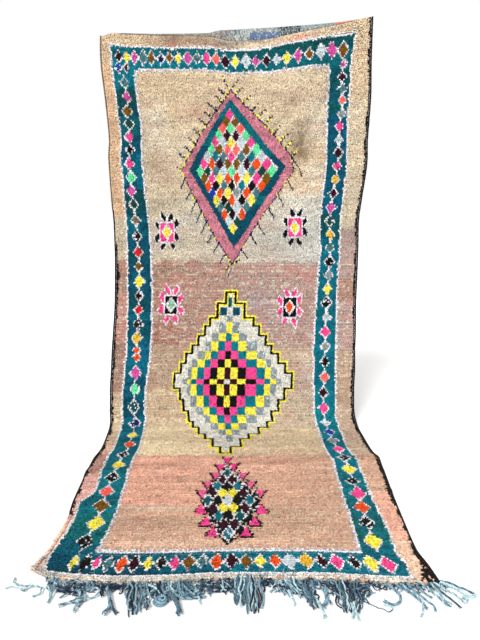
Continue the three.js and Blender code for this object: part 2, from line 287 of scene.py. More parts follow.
def row_along(across, row, head_offset):
    plain = row * CLOTH_LENGTH
    head_fade = np.clip(1 - plain / HEAD_RUNS_OUT, 0, 1) ** 2
    foot_fade = np.clip(1 - (CLOTH_LENGTH - plain) / FOOT_RUNS_OUT, 0, 1)
    return plain + head_offset * head_fade + read(FOOT, 1, across) * foot_fade

def cloth_point(across, row, lift, outset=0.0):
    across, row = np.broadcast_arrays(np.asarray(across, float), np.asarray(row, float))
    return place(across, row_along(across, row, pile_head(across)), lift, outset)

print("top corners", cloth_point([0, 1], [0, 0], 0).round(3).tolist())

# %% [markdown]
# The design is worked knot by knot, as on the loom: 204 knots across and 360 rows down, each knot about 7 mm
# wide and 10 mm tall, which is coarse and right for this kind of rug. Two arrays hold the middle of each knot
# in millimetres of flat cloth, and every motif is a test on them, so its slanting edges come out as steps of
# one knot. A painted image could hold the design too, but it wouldn't step, and each knot gets a tuft of its
# own below. Where a motif is uneven, as most are here, its corners and steps are listed as places, which were
# read on the picture and then converted to flat cloth. The noise that breaks up the wools is a coarse grid of
# random values, smoothed.

# %% The grid of knots
COLUMNS, ROWS = 204, 360
NOMINAL_WIDTH = 1500.0
HALF_WIDTH = NOMINAL_WIDTH / 2
KNOT_WIDE, KNOT_TALL = NOMINAL_WIDTH / COLUMNS, CLOTH_LENGTH / ROWS
X, Y = np.meshgrid(((np.arange(COLUMNS) + 0.5) / COLUMNS - 0.5) * NOMINAL_WIDTH,
                   (np.arange(ROWS) + 0.5) / ROWS * CLOTH_LENGTH)
print("knots", ROWS * COLUMNS, "of", round(KNOT_WIDE, 2), "by", round(KNOT_TALL, 2), "mm")

def cloudy(seed, grain_x, grain_y):
    source = np.random.default_rng(seed)
    shape = int(CLOTH_LENGTH / grain_y) + 3, int(NOMINAL_WIDTH / grain_x) + 3
    coarse = source.uniform(-1, 1, shape)
    gx, gy = (X + HALF_WIDTH) / grain_x, Y / grain_y
    ix, iy = gx.astype(int), gy.astype(int)
    fx, fy = gx - ix, gy - iy
    fx, fy = fx * fx * (3 - 2 * fx), fy * fy * (3 - 2 * fy)
    top = coarse[iy, ix] * (1 - fx) + coarse[iy, ix + 1] * fx
    bottom = coarse[iy + 1, ix] * (1 - fx) + coarse[iy + 1, ix + 1] * fx
    return top * (1 - fy) + bottom * fy

# %% [markdown]
# The ground is undyed and madder-dyed wool. The weaver used what was spun that week, so its colour
# changes in bands right across the rug, from tan through clay, biscuit and straw to salmon.
# A band has one wool on its left and one on its right, and the margins have wools of their own.

# %% Wools and bands of the ground
GROUND_WOOL = {name: linear(value) for name, value in {
    "tan": "#d3bd9d", "apricot": "#d7b693", "sand": "#d5c5a9", "oat": "#cbbda4", "cream": "#e2dac8",
    "stone": "#c4c3ba", "rose": "#bb8f80", "clay": "#a58774", "rust": "#a0604c", "mauve": "#ae9990",
    "lilac": "#aea6ad", "biscuit": "#b39c83", "fawn": "#bba891", "straw": "#cfbc9a",
    "wheat": "#bcad95", "flax": "#e9d8b4", "salmon": "#e8b39a",
    "bisque": "#cfab90", "peach": "#e6c3a8", "blush": "#e4b4a8",
    # shadow is no wool: it is painted shade, for the patches where the cloth is shaded.
    "rosy": "#c9877c", "toned": "#a08070", "coral": "#d98a76", "shadow": "#8d7860", "smoke": "#85807a",
    "soot": "#66625e"}.items()}
# where the band starts down the cloth, its left wool and its right wool
FIELD = ((0, "tan", "sand"), (640, "sand", "tan"), (960, "oat", "stone"), (1360, "clay", "mauve"),
         (1877, "biscuit", "fawn"), (2151, "straw", "wheat"), (2400, "flax", "straw"),
         (2720, "salmon", "bisque"), (3000, "salmon", "bisque"), (3170, "bisque", "bisque"),
         (3390, "peach", "bisque"))
MARGIN_LEFT = ((0, "tan"), (160, "apricot"), (1080, "oat"), (1340, "clay"), (1560, "rose"),
               (1860, "toned"), (2170, "straw"), (2560, "peach"), (2690, "rose"), (2920, "blush"),
               (3300, "peach"))
MARGIN_RIGHT = ((0, "tan"), (420, "sand"), (850, "oat"), (1150, "mauve"), (1460, "clay"),
                (1600, "mauve"), (1900, "biscuit"), (2240, "fawn"), (2700, "bisque"),
                (3060, "salmon"), (3380, "peach"))
print("wools of the ground", len(GROUND_WOOL))

# %% [markdown]
# Many small batches show as soft patches on the bands, leaning a little where the cloth does. The shadow
# patches are no batch of wool but painted shade, laid where the cloth is shaded, and the long tilted cream
# patch at the upper right is a painted highlight on the ridge of the drag fold. They were placed where the
# real ones show, and strengthened or weakened until the two looked alike.

# %% Patches of the ground
# middle across and down, half its width and height, wool, share, tilt
PATCHES = (
    (-250, 470, 110, 60, "rose", 0.62, 0), (330, 400, 190, 46, "rose", 0.3, -0.1),
    (-490, 550, 90, 170, "cream", 0.85, 0), (-455, 800, 90, 110, "rose", 0.38, 0),
    # The shadow patches are painted shade where the cloth is shaded.
    (225, 375, 140, 50, "shadow", 0.4, 0.2), (125, 505, 60, 40, "cream", 0.5, 0.6),
    (345, 585, 90, 66, "shadow", 0.85, -0.6),
    (372, 695, 82, 100, "shadow", 1.1, -0.5), (-510, 760, 60, 70, "shadow", 0.45, 0),
    (-460, 1020, 90, 50, "shadow", 0.4, 0), (160, 1290, 130, 50, "toned", 0.35, 0),
    (330, 1010, 250, 120, "cream", 0.75, 0), (450, 1190, 120, 160, "stone", 0.75, 0),
    (450, 840, 70, 80, "cream", 0.95, 0), (400, 880, 150, 12, "rose", 0.7, -0.32),
    (420, 930, 130, 9, "rosy", 0.6, -0.32), (30, 292, 280, 46, "shadow", 0.2, 0),
    (-478, 1590, 62, 100, "rust", 0.5, 0), (-385, 1785, 66, 44, "rust", 0.7, 0),
    (-330, 1500, 190, 60, "rose", 0.5, 0),
    (-500, 1240, 60, 80, "lilac", 0.55, 0), (-300, 1300, 130, 30, "stone", 0.4, 0),
    (-515, 1800, 70, 75, "rust", 0.85, 0), (-430, 1850, 130, 24, "rust", 0.5, 0),
    (-90, 1416, 90, 22, "rose", 0.6, 0), (390, 1425, 150, 36, "rosy", 0.5, 0),
    (60, 1470, 210, 60, "mauve", 0.5, 0), (140, 1600, 120, 80, "lilac", 0.65, 0),
    (95, 1600, 60, 16, "soot", 0.5, 0), (210, 1640, 70, 12, "soot", 0.42, 0),
    (435, 1590, 70, 120, "toned", 0.55, 0), (410, 1840, 80, 50, "toned", 0.4, 0),
    (455, 2080, 60, 120, "lilac", 0.45, 0),
    (430, 2330, 70, 14, "soot", 0.3, 0), (250, 1720, 70, 40, "lilac", 0.5, 0),
    (465, 1975, 60, 50, "cream", 0.5, 0), (-520, 2090, 50, 70, "shadow", 0.5, 0),
    (-515, 2335, 50, 60, "biscuit", 0.5, 0), (307, 2430, 100, 50, "fawn", 0.6, 0),
    (-290, 1110, 140, 60, "stone", 0.5, 0), (250, 3210, 210, 70, "biscuit", 0.45, 0),
    (-440, 2240, 110, 60, "biscuit", 0.5, 0),
    (-380, 3185, 170, 17, "cream", 0.8, 0.02), (-330, 2790, 190, 34, "rose", 0.35, 0),
    (-440, 3260, 90, 30, "rose", 0.5, 0), (185, 3235, 30, 9, "smoke", 0.7, 0),
    (330, 3300, 160, 60, "biscuit", 0.4, 0), (0, 2700, 60, 14, "rose", 0.5, 0),
    (-260, 34, 250, 46, "toned", 1.0, 0), (-330, 52, 60, 12, "coral", 0.6, 0),
    (-110, 60, 80, 14, "coral", 0.5, 0), (340, 34, 125, 22, "coral", 0.9, -0.04),
    (-60, 30, 120, 40, "smoke", 0.6, 0), (-300, 10, 230, 16, "shadow", 0.7, 0),
    # The cream patch at 450 across and 560 down is a painted highlight on the ridge of the drag fold.
    (100, 4, 200, 18, "smoke", 1.0, 0), (450, 560, 60, 170, "cream", 0.6, -0.2),
    (-330, 640, 120, 120, "cream", 0.35, 0), (-200, 1330, 140, 34, "toned", 0.35, 0),
    (560, 20, 120, 7, "toned", 0.7, -0.2), (228, 1073, 22, 14, "soot", 0.75, 0),
)
print("patches", len(PATCHES))

# %% [markdown]
# Bands, margins and patches all meet raggedly, and cloudy noise along the rows breaks them up. Below
# the first third the rows are ribbed, a pale one after a dark one, with warm and pale streaks.

# %% Lay the ground
BAND_SOFT = 16.0
FIELD_FROM, FIELD_TO = -600, 580

def banded(bands, along, side):
    colours = np.zeros((ROWS, COLUMNS, 3))
    for start, *wools in bands:
        band = GROUND_WOOL[wools[0]] * (1 - side) + GROUND_WOOL[wools[-1]] * side
        share = smoothstep(along, start - BAND_SOFT, start + BAND_SOFT)[..., None] if start else 1.0
        colours = colours * (1 - share) + band * share
    return colours

side = np.clip((X + 520) / 1040, 0, 1)[..., None]
ragged = Y + 14 * cloudy(11, 60, 4000) + 9 * cloudy(12, 14, 14)
yarn = banded(FIELD, ragged, side)
yarn = np.where(X[..., None] < FIELD_FROM, banded(MARGIN_LEFT, ragged, 0), yarn)
yarn = np.where(X[..., None] > FIELD_TO, banded(MARGIN_RIGHT, ragged, 0), yarn)
breakup = 0.75 + 0.5 * cloudy(25, 34, 15)
for x, y, half_x, half_y, wool, share, tilt in PATCHES:
    away = np.hypot((X - x) / half_x, (Y - y - (X - x) * tilt) / half_y)
    amount = (share * np.clip(1.25 - away, 0, 1) * breakup)[..., None].clip(0, 1)
    yarn = yarn * (1 - amount) + GROUND_WOOL[wool] * amount
yarn *= (1 + 0.06 * cloudy(21, 420, 22) + 0.08 * cloudy(22, 160, 60) + 0.08 * cloudy(23, 60, 14))[..., None]
rose = np.clip(cloudy(24, 120, 34) - 0.3, 0, 1)[..., None]
yarn = yarn * (1 - 0.5 * rose) + GROUND_WOOL["rose"] * 0.5 * rose
zone = smoothstep(Y, 1340, 1380) * (1 - 0.45 * smoothstep(Y, 1877, 1900))
zone = zone * (1 - 0.4 * smoothstep(Y, 2151, 2400))
ribs = np.where(np.arange(ROWS) % 2, 1, -1)[:, None] * (0.5 + 0.5 * cloudy(26, 300, 30))
yarn *= (1 + 0.13 * zone * ribs)[..., None]
tint = np.random.default_rng(27).random((ROWS, COLUMNS))[..., None]
warm = np.clip(0.35 + 0.5 * cloudy(28, 90, 40), 0, 1)[..., None] * zone[..., None]
yarn = np.where(tint < 0.2 * warm, yarn * 0.4 + GROUND_WOOL["rosy"] * 0.6, yarn)
yarn = np.where(tint > 1 - 0.04 * zone[..., None], yarn * 0.5 + GROUND_WOOL["cream"] * 0.5, yarn)
streak = cloudy(29, 26, 10)[..., None]
warm_streak = 0.45 * zone[..., None] * (streak < -0.42)
yarn = yarn * (1 - warm_streak) + GROUND_WOOL["rosy"] * warm_streak
pale_streak = 0.4 * zone[..., None] * (streak > 0.5)
yarn = yarn * (1 - pale_streak) + GROUND_WOOL["cream"] * pale_streak
yarn *= (1 + 0.07 * cloudy(30, 60, 10))[..., None]
on_ground = np.ones((ROWS, COLUMNS), bool)
print("ground laid in", len(FIELD), "bands")

# %% [markdown]
# The motifs are tied in brighter wools, each with a name.

# %% Wools of the motifs
WOOL = {name: linear(value) for name, value in {
    "white": "#e2dfe0", "bone": "#d6d3c8", "pink": "#ee4a90", "rosy": "#e0628f", "dusty": "#c47c8a",
    "magenta": "#cf529f", "coral": "#fa6a62", "orange": "#e8521a", "red": "#c8232f", "yellow": "#f3e24c",
    "gold": "#dcb233", "brown": "#7d5416", "taupe": "#7d6c58", "maroon": "#360f20",
    "black": "#131214", "charcoal": "#23252b", "navy": "#1a2258", "blue": "#1f3aa6",
    "mint": "#63e09a", "sage": "#86b89c", "forest": "#16453a", "grey": "#8a9497", "ice": "#c3cfd4",
    "slate": "#4a7a7e", "petrol": "#0a4a5f", "teal": "#0c7484", "lagoon": "#0c5a5e",
    "pine": "#114b4a", "jade": "#10787f", "fern": "#176c5f", "sea": "#0a5a76",
    "cream": "#e8dfcf", "hair": "#1e1516"}.items()}
print("wools of the motifs", len(WOOL))

# %% [markdown]
# Small tools for the motifs. A mask picks knots and lays a wool on them. Every motif's wool is
# plainer than the ground, so its knots are marked as not ground for later. Other tools widen a mask
# by whole knots, or make one from a diamond, from two sides, or from a line of single stitches.

# %% Tools that lay wool on knots
def lay(mask, colour):
    yarn[mask] = WOOL[colour] if isinstance(colour, str) else colour[mask]
    on_ground[mask] = False

def grown(mask, across=1, down=1):
    wide = mask.copy()
    for _ in range(across):
        wide[:, 1:] |= wide[:, :-1].copy()
        wide[:, :-1] |= wide[:, 1:].copy()
    for _ in range(down):
        wide[1:] |= wide[:-1].copy()
        wide[:-1] |= wide[1:].copy()
    return wide

def edged(mask):
    out = mask.copy()
    out[:, 1:] |= mask[:, :-1]
    out[:, :-1] |= mask[:, 1:]
    out[1:] |= mask[:-1]
    out[:-1] |= mask[1:]
    return out

def diamond(x, y, half_x, half_y):
    return np.abs(X - x) / half_x + np.abs(Y - y) / half_y < 1

def between(left_side, right_side):
    low = np.interp(Y, [y for x, y in left_side], [x for x, y in left_side])
    high = np.interp(Y, [y for x, y in right_side], [x for x, y in right_side])
    return (X >= low) & (X <= high) & (Y >= left_side[0][1]) & (Y <= left_side[-1][1])

def stitches(start, end, *colours, run=1):
    start, end = np.array(start, float), np.array(end, float)
    count = int(max(abs(end - start) / (KNOT_WIDE, KNOT_TALL))) + 1
    for i in range(count + 1):
        x, y = start + (end - start) * i / count
        column = int((x / NOMINAL_WIDTH + 0.5) * COLUMNS)
        row = int(y / CLOTH_LENGTH * ROWS)
        yarn[row, column] = WOOL[colours[(i // run) % len(colours)]]
        on_ground[row, column] = False

# %% [markdown]
# The border is a teal band with toothed white lines on both sides. Its edges wander with the hand of
# the weaver, so they are tables of places read on the picture, not straight lines.

# %% Edges of the border
left_outer = np.interp(Y, (77, 405, 986, 1285, 1907, 2211, 2668, 3060, 3140, 3335, 3490, 3570),
                       (-696, -690, -675, -676, -664, -677, -686, -666, -720, -720, -727, -706))
left_inner = np.interp(Y, (217, 405, 986, 1285, 1907, 2211, 2668, 3126, 3335, 3463),
                       (-574, -582, -554, -539, -520, -547, -552, -543, -553, -558))
right_inner = np.interp(Y, (216, 420, 986, 1285, 1907, 2211, 2668, 3126, 3331, 3460),
                        (525, 519, 524, 525, 502, 516, 507, 525, 528, 528))
right_outer = np.interp(Y, (72, 420, 986, 1285, 1907, 2211, 2668, 3126, 3331, 3572),
                        (660, 627, 639, 637, 632, 640, 624, 648, 667, 666))
top_outer = np.interp(X, (-696, -357, 300, 660), (77, 84, 58, 72))
top_inner = np.interp(X, (-574, -357, 300, 525), (217, 206, 207, 216))
bottom_inner, bottom_outer = 3465, 3575
print("border is", round(float((left_inner - left_outer).mean())), "mm wide on its left")

# %% [markdown]
# How far a knot is from each edge gives the band, the white lines beside it and their teeth. A row
# of lilac knots softens the inner line.

# %% Toothed white lines
ragged_side = 3.4 * cloudy(31, 90, 11)
ragged_end = 4.5 * cloudy(32, 9, 90)
from_side = np.minimum(X - left_outer, right_outer - X) + ragged_side
from_end = np.minimum(Y - top_outer, bottom_outer - Y) + ragged_end
from_outer = np.minimum(from_side, from_end)
in_side = np.minimum(X - left_inner, right_inner - X) + ragged_side
in_end = np.minimum(Y - top_inner, bottom_inner - Y) + ragged_end
from_inner = np.minimum(in_side, in_end)
band = (from_outer > 0) & (from_inner < 0)

tooth_side = ((Y + 5 * cloudy(33, 300, 25)) % 31) / 31
tooth_end = ((X + 5 * cloudy(34, 25, 300)) % 25) / 25
line_side = 7.4 + 6.5 * (tooth_side > 0.66)
line_end = np.where(Y > 3000, 13, 10.5) + 7 * (tooth_end > 0.62)
outer_line = (from_outer <= 0) & (from_side > -line_side) & (from_end > -line_end)
inner_line = (from_inner >= 0) & ((in_side < line_side) | (in_end < line_end))
tinted = (from_inner >= 0) & ((in_side < line_side + 7.4) | (in_end < line_end + 10)) & ~inner_line
yarn[tinted] = yarn[tinted] * 0.45 + GROUND_WOOL["lilac"] * 0.55
lay(outer_line | inner_line, "white")
print("knots in the white lines", int((outer_line | inner_line).sum()))

# %% [markdown]
# The teal shifts between blue and green every few rows, because each dye bath came out differently,
# and the two sides were tied from different lots.

# %% Teal of the border
bath = cloudy(35, 900, 95) + 0.5 * cloudy(36, 60, 24) + 0.45 * smoothstep(Y, 1900, 2300) + 0.2 * (Y < 300)
depth = cloudy(37, 700, 150) + 0.35 * cloudy(38, 40, 30)
DYE_SHARE = 0.55
blues = np.where((depth > 0.25)[..., None], WOOL["sea"], WOOL["petrol"])
greens = np.where((depth > 0)[..., None], WOOL["lagoon"], WOOL["pine"])
teal = np.where((bath > 0.34)[..., None], WOOL["teal"], blues)
teal = np.where((bath < -0.34)[..., None], greens, teal)
DYE_LEFT = ((0, "teal"), (330, "pine"), (620, "sea"), (930, "pine"), (1080, "petrol"), (1830, "sea"),
            (2100, "petrol"), (2450, "teal"), (2700, "jade"), (3230, "fern"), (3400, "petrol"))
DYE_RIGHT = ((0, "lagoon"), (500, "sea"), (1050, "pine"), (1200, "teal"), (2250, "jade"), (2480, "teal"),
             (2900, "jade"), (3230, "fern"), (3400, "teal"))
dyed = teal
for dyes, at_side in ((DYE_LEFT, X < -30), (DYE_RIGHT, X >= -30)):
    for start, dye in dyes:
        later = (at_side & (Y + 30 * cloudy(40, 60, 30) > start))[..., None]
        dyed = np.where(later, WOOL[dye], dyed)
teal = teal * (1 - DYE_SHARE) + dyed * DYE_SHARE
teal = teal * (1 + 0.2 * cloudy(39, 18, 14))[..., None]
lay(band, teal)
print("border knots", int(band.sum()))

# %% [markdown]
# A chain of lozenges runs round inside the band. Each one is about a knot wider at both ends of every
# row to its middle, in a bright wool with a thin, broken white outline. Down the sides a line of white
# stitches joins each to the next. The colours follow no rule, so they are listed in order.

# %% Colours of the lozenges
LOZENGES_TOP = """maroon yellow magenta slate brown navy brown yellow magenta slate pink coral
    maroon yellow ice magenta maroon ice yellow magenta brown ice magenta brown""".split()
LOZENGES_LEFT = """slate magenta brown forest pink black pink mint magenta forest taupe black red
    brown yellow black red charcoal gold orange magenta mint pine navy yellow orange black
    yellow black coral brown yellow black""".split()
LOZENGES_RIGHT = """magenta maroon slate coral grey pink ice maroon pink gold maroon magenta forest
    gold slate black grey yellow black ice pink grey black coral maroon pink ice blue grey pink
    black yellow black pink orange black yellow""".split()
LOZENGES_BOTTOM = """yellow black pink slate orange maroon yellow black pink brown slate orange
    maroon brown yellow orange ice gold maroon pink black yellow pink""".split()
print("listed", len(LOZENGES_TOP + LOZENGES_LEFT + LOZENGES_RIGHT + LOZENGES_BOTTOM), "lozenges")

# %% [markdown]
# The spacing opens slowly along each side, so a lozenge's place is a short sum on its number. On the
# left the weaver strayed from it, first down and then up, and a table gives by how much.

# %% Lozenges of the border
# number of the lozenge, how far down it strays from the even spacing
STRAY = np.array([(0, 0), (2, 15), (4, 0), (6, -14), (9, -36), (12, -25), (14, -28), (17, -45),
                  (18.5, -77), (20, -52), (21, -56), (23, -44), (24, -20), (28, -15), (32, -4)]).T
wobble = np.random.default_rng(41)
broken = np.random.default_rng(42).random((ROWS, COLUMNS))
jagged = ((X * 0.9 + Y) % 26 < 8)

def lozenge(x, y, half_x, half_y, colour):
    x, y = x + wobble.uniform(-4, 4), y + wobble.uniform(-3, 3)
    size = wobble.uniform(0.86, 1.16)
    half_x, half_y = half_x * size, half_y * size
    halo = diamond(x, y, half_x + 8.5, half_y + 11) & band
    lay(halo & (broken > 0.2), "white")
    inside = diamond(x, y, half_x, half_y) & band
    lay(inside, colour)
    if colour in ("black", "charcoal", "forest", "navy", "pine"):
        lay(inside & jagged & (broken < 0.4), "white")

for i, colour in enumerate(LOZENGES_TOP):
    pitch = 45 + 0.832 * i
    lozenge(-659 + 45 * i + 0.416 * i * i, 142 if i < 19 else 140, pitch * 0.4, 40, colour)
lozenge(-662, 212, 15, 30, "blue")
lozenge(-617, 208, 15, 30, "maroon")
for i, colour in enumerate(LOZENGES_LEFT):
    y = 297 + 78 * i + 0.6025 * i * i + np.interp(i, *STRAY)
    pitch = 78 + 1.2 * i
    x = np.interp(y, (300, 900, 1500, 2200, 2900, 3500), (-638, -632, -603, -604, -612, -622))
    stitches((x, y - pitch * 0.5), (x, y + pitch * 0.5), "white")
    if i == 19:
        lozenge(x, y - 22, 18, 22, colour)
        lozenge(x, y + 24, 21, 24, colour)
    else:
        lozenge(x, y, 22 + 0.34 * i, pitch * 0.37, colour)
for i, colour in enumerate(LOZENGES_RIGHT):
    y = 218 + 67 * i + 0.59 * i * i
    pitch = 67 + 1.18 * i
    x = np.interp(y, (200, 900, 1300, 1800, 2500, 3000, 3500), (603, 580, 581, 571, 566, 585, 598))
    stitches((x, y - pitch * 0.5), (x, y + pitch * 0.5), "white")
    lozenge(x, y, 22 + 0.32 * i, pitch * 0.38, colour)
for i, colour in enumerate(LOZENGES_BOTTOM):
    pitch = 46 + 0.868 * i
    lozenge(-619 + 46 * i + 0.434 * i * i, 3518, pitch * 0.4, 37, colour)
print("lozenges", len(LOZENGES_TOP + LOZENGES_LEFT + LOZENGES_RIGHT + LOZENGES_BOTTOM) + 3)

# %% [markdown]
# The upper medallion is a tall rhombus: dusty pink, then teal, then a white field for the lattice.
# Its sides swell and bend, so each is a short list of places down one side of the shape. Outside
# runs a thin line of navy knots with yellow ones among them.

# %% Upper medallion
PINK_LEFT = ((-39, 333), (-122, 463), (-214, 600), (-268, 700), (-328, 820), (-220, 1028),
             (-143, 1184), (-28, 1366))
PINK_RIGHT = ((-39, 335), (38, 426), (120, 515), (221, 626), (307, 734), (326, 818), (252, 937),
              (76, 1200), (-28, 1372))
TEAL_LEFT = ((-47, 386), (-128, 520), (-175, 598), (-232, 700), (-285, 815), (-160, 1016), (-18, 1270))
TEAL_RIGHT = ((-47, 386), (66, 535), (175, 680), (280, 790), (231, 892), (85, 1126), (-18, 1270))
LATTICE_LEFT = ((-50, 440), (-126, 597), (-242, 816), (-92, 1063), (-22, 1190))
LATTICE_RIGHT = ((-50, 440), (14, 546), (98, 656), (240, 800), (158, 914), (-22, 1190))
pink_shape = between(PINK_LEFT, PINK_RIGHT)
lay(grown(edged(pink_shape), 1, 0) & (cloudy(51, 10, 14) > 0.05 + 0.3 * (Y > 830)), "yellow")
lay(edged(pink_shape), np.where((cloudy(56, 9, 12) > 0.45)[..., None], WOOL["yellow"], WOOL["navy"]))
pinks = WOOL["dusty"] * (1 + 0.16 * cloudy(52, 500, 14) + 0.15 * cloudy(53, 26, 26))[..., None]
lay(pink_shape, pinks)
teal_shape = between(TEAL_LEFT, TEAL_RIGHT)
upper_part = cloudy(54, 300, 90) + (700 - Y) / 900 > 0
upper_teal = WOOL["lagoon"] * 0.5 + WOOL["teal"] * 0.5
lay(teal_shape, np.where(upper_part[..., None], upper_teal, WOOL["petrol"]))
lay(between(LATTICE_LEFT, LATTICE_RIGHT), "white")
print("knots in the rhombus", int(pink_shape.sum()))

# %% [markdown]
# Small diamonds fill the white field, which shows between them as thin outlines. Their rows grow by
# one diamond to the middle and shrink again, and most rows read the same both ways.

# %% Diamonds of the upper medallion
LATTICE = """pink/brown brown/coral mint coral/mint maroon maroon mint/pink ice yellow ice pink/
    mint brown coral coral brown mint/ice teal slate pink slate teal ice/
    pink orange maroon brown brown maroon orange pink/
    mint forest slate ice mint ice slate forest mint/
    brown pink yellow orange orange yellow pink brown/orange black slate black teal black orange/
    blue orange yellow grey orange slate/yellow black orange black yellow/
    slate forest ice slate/orange black orange/ice forest/yellow""".split("/")
for row, line_of_wools in enumerate(LATTICE):
    wools = line_of_wools.split()
    y = 482 + 42 * row
    middle = -50 + 29 * row / 16
    for i, colour in enumerate(wools):
        step = i - (len(wools) - 1) / 2
        wide = np.interp(step, (-4, 0, 4), (46, 49, 60))
        lay(diamond(middle + step * (46.5 if step < 0 else 59), y, wide * 0.46, 38), colour)
print("rows of diamonds", len(LATTICE))

# %% [markdown]
# Combs of single knots in navy and charcoal, some beside yellow ones, stand out from all four sides,
# and a few longer stitches from the top and the foot of the rhombus.

# %% Combs of the upper medallion
comb_wobble = np.random.default_rng(55)
# side, number of spikes, reach to the side, reach down, colours of its knots
COMBS = ((PINK_LEFT[:5], 9, -41, -42, "navy charcoal"), (PINK_RIGHT[:6], 9, 43, -50, "navy navy yellow"),
         (PINK_RIGHT[5:], 6, 40, 62, "navy charcoal"), (PINK_LEFT[4:], 8, -34, 61, "charcoal navy"))
for chain, count, reach_x, reach_y, colours in COMBS:
    chain = np.array(chain, float)
    run = np.concatenate([[0], np.cumsum(np.hypot(*np.diff(chain, axis=0).T))])
    for i in range(count):
        at = run[-1] * (0.07 + 0.92 * (i + comb_wobble.uniform(-0.12, 0.12)) / count)
        root = np.array([np.interp(at, run, chain[:, 0]), np.interp(at, run, chain[:, 1])])
        reach = np.array([reach_x, reach_y]) * comb_wobble.uniform(0.85, 1.12)
        if reach_y < 0 or comb_wobble.random() < 0.35:
            aside = (8 if reach_x < 0 else -8, -4)
            stitches(root + aside, root + aside + reach * comb_wobble.uniform(0.3, 1.0), "yellow", "navy")
        stitches(root, root + reach, *colours.split())
for foot, arms in (((-42, 330), ((-80, 246), (0, 266))), ((-28, 1370), ((-66, 1405), (22, 1346)))):
    for arm in arms:
        stitches(foot, arm, "navy", "navy", "yellow")
stitches((312, 724), (382, 846), "navy", "charcoal")
stitches((-330, 820), (-358, 800), "navy", "yellow")
stitches((-36, 1405), (-48, 1442), "blue")
stitches((-44, 1402), (-54, 1432), "yellow")
print("spikes in the combs", sum(count for chain, count, *rest in COMBS))

# %% [markdown]
# The central medallion is a stepped one. Its cells are counted out from a white middle cell, and a
# cell's colour depends only on how many cells it is away, across and down together. The columns are
# a little wider on the right and the rows taller below, and the middle row is thin. The outline goes
# down in steps of its own, each listed with its row and its two sides. It is black, with yellow
# outside it.

# %% Places of the central medallion
RINGS = "bone maroon yellow black pink teal yellow grey".split()
column_edges = np.array([-358, -308, -283, -254, -222, -179, -140, -97, -55, -12,
                         31, 84, 149, 195, 234, 273, 306, 352], float)
row_edges = np.array([1641, 1688, 1734, 1798, 1851, 1908, 1964, 2016, 2079,
                      2114, 2180, 2250, 2307, 2365, 2428, 2495, 2570, 2680], float)
step_rows = np.array([1551, 1621, 1708, 1767, 1827, 1881, 1935, 1992, 2054, 2131,
                      2204, 2272, 2342, 2397, 2471, 2537, 2619, 2695], float)
steps_left = np.array([-60, -109, -153, -186, -218, -255, -291, -323, -357, -323,
                       -299, -272, -247, -213, -179, -134, -89], float)
steps_right = np.array([-3, 57, 117, 155, 199, 236, 277, 321, 368, 325,
                        286, 246, 206, 147, 80, 26, -26], float)
print("steps of the outline", len(steps_left))

# %% Central medallion
step_of = np.clip(np.searchsorted(step_rows, Y) - 1, 0, len(steps_left) - 1)
body = (Y > step_rows[0]) & (Y < step_rows[-1]) & (X > steps_left[step_of]) & (X < steps_right[step_of])
inner = body.copy()
inner[:, 1:] &= body[:, :-1]
inner[:, :-1] &= body[:, 1:]
black_line = grown(body) & ~inner
lay(grown(grown(body)) | (grown(body, 3, 2) & (X < 20) & (Y > 2320) & (cloudy(63, 30, 30) > -0.3)), "yellow")
lay(black_line, "black")
lay(inner, WOOL["bone"] * (1 + 0.12 * cloudy(64, 20, 22))[..., None])
MIDDLE_CELL = 9
column_of = np.searchsorted(column_edges, X) - MIDDLE_CELL
row_of = np.searchsorted(row_edges, Y) - MIDDLE_CELL
ring = np.abs(column_of) + np.abs(row_of)
for distance, colour in enumerate(RINGS):
    lay((ring == distance) & inner, colour)
lining = inner & grown(black_line) & ((Y < 1752) | (Y > 2655))
lay(lining, "yellow")
shoulders = (row_of == -8) & (np.abs(column_of) == 1) & (np.abs(X + 33) < 60)
lay(shoulders & ~lining, "petrol")
lay((Y > 1578) & (Y < 1641) & (np.abs(X + 34) < 13), "lagoon")
flecked = inner & (ring == 7) & (cloudy(61, 9, 11) > 0.5)
lay(flecked, "ice")
print("rings of cells", len(RINGS), "knots inside the outline", int(inner.sum()))

# %% [markdown]
# The lower medallion is a small lattice again, inside a ring of pink triangles backed with black.
# The upper triangles stand on their points and the lower ones on their bases, and each has a short
# black horn on its outer side. The top one has two.

# %% Triangles of the lower medallion
# place, side, and whether it points down (-1) or up (1)
TRIANGLES = (((-47, 2776), 0, -1), ((-78, 2846), -1, -1), ((-10, 2846), 1, -1), ((-97, 2930), -1, -1),
             ((34, 2926), 1, -1), ((-132, 3002), -1, -1), ((76, 3002), 1, -1), ((-154, 3080), -1, -1),
             ((122, 3078), 1, -1), ((-156, 3188), -1, 1), ((122, 3186), 1, 1), ((-127, 3270), -1, 1),
             ((90, 3270), 1, 1), ((-92, 3338), -1, 1), ((54, 3342), 1, 1))
lay(between(((-44, 2842), (-160, 3130), (-24, 3432)), ((-44, 2842), (124, 3128), (-24, 3432))), "black")

def pointed(x, y, turn, tall, slope):
    down = (Y - y) * turn + tall
    return (down > 0) & (down < 2 * tall) & (np.abs(X - x) < down * slope)

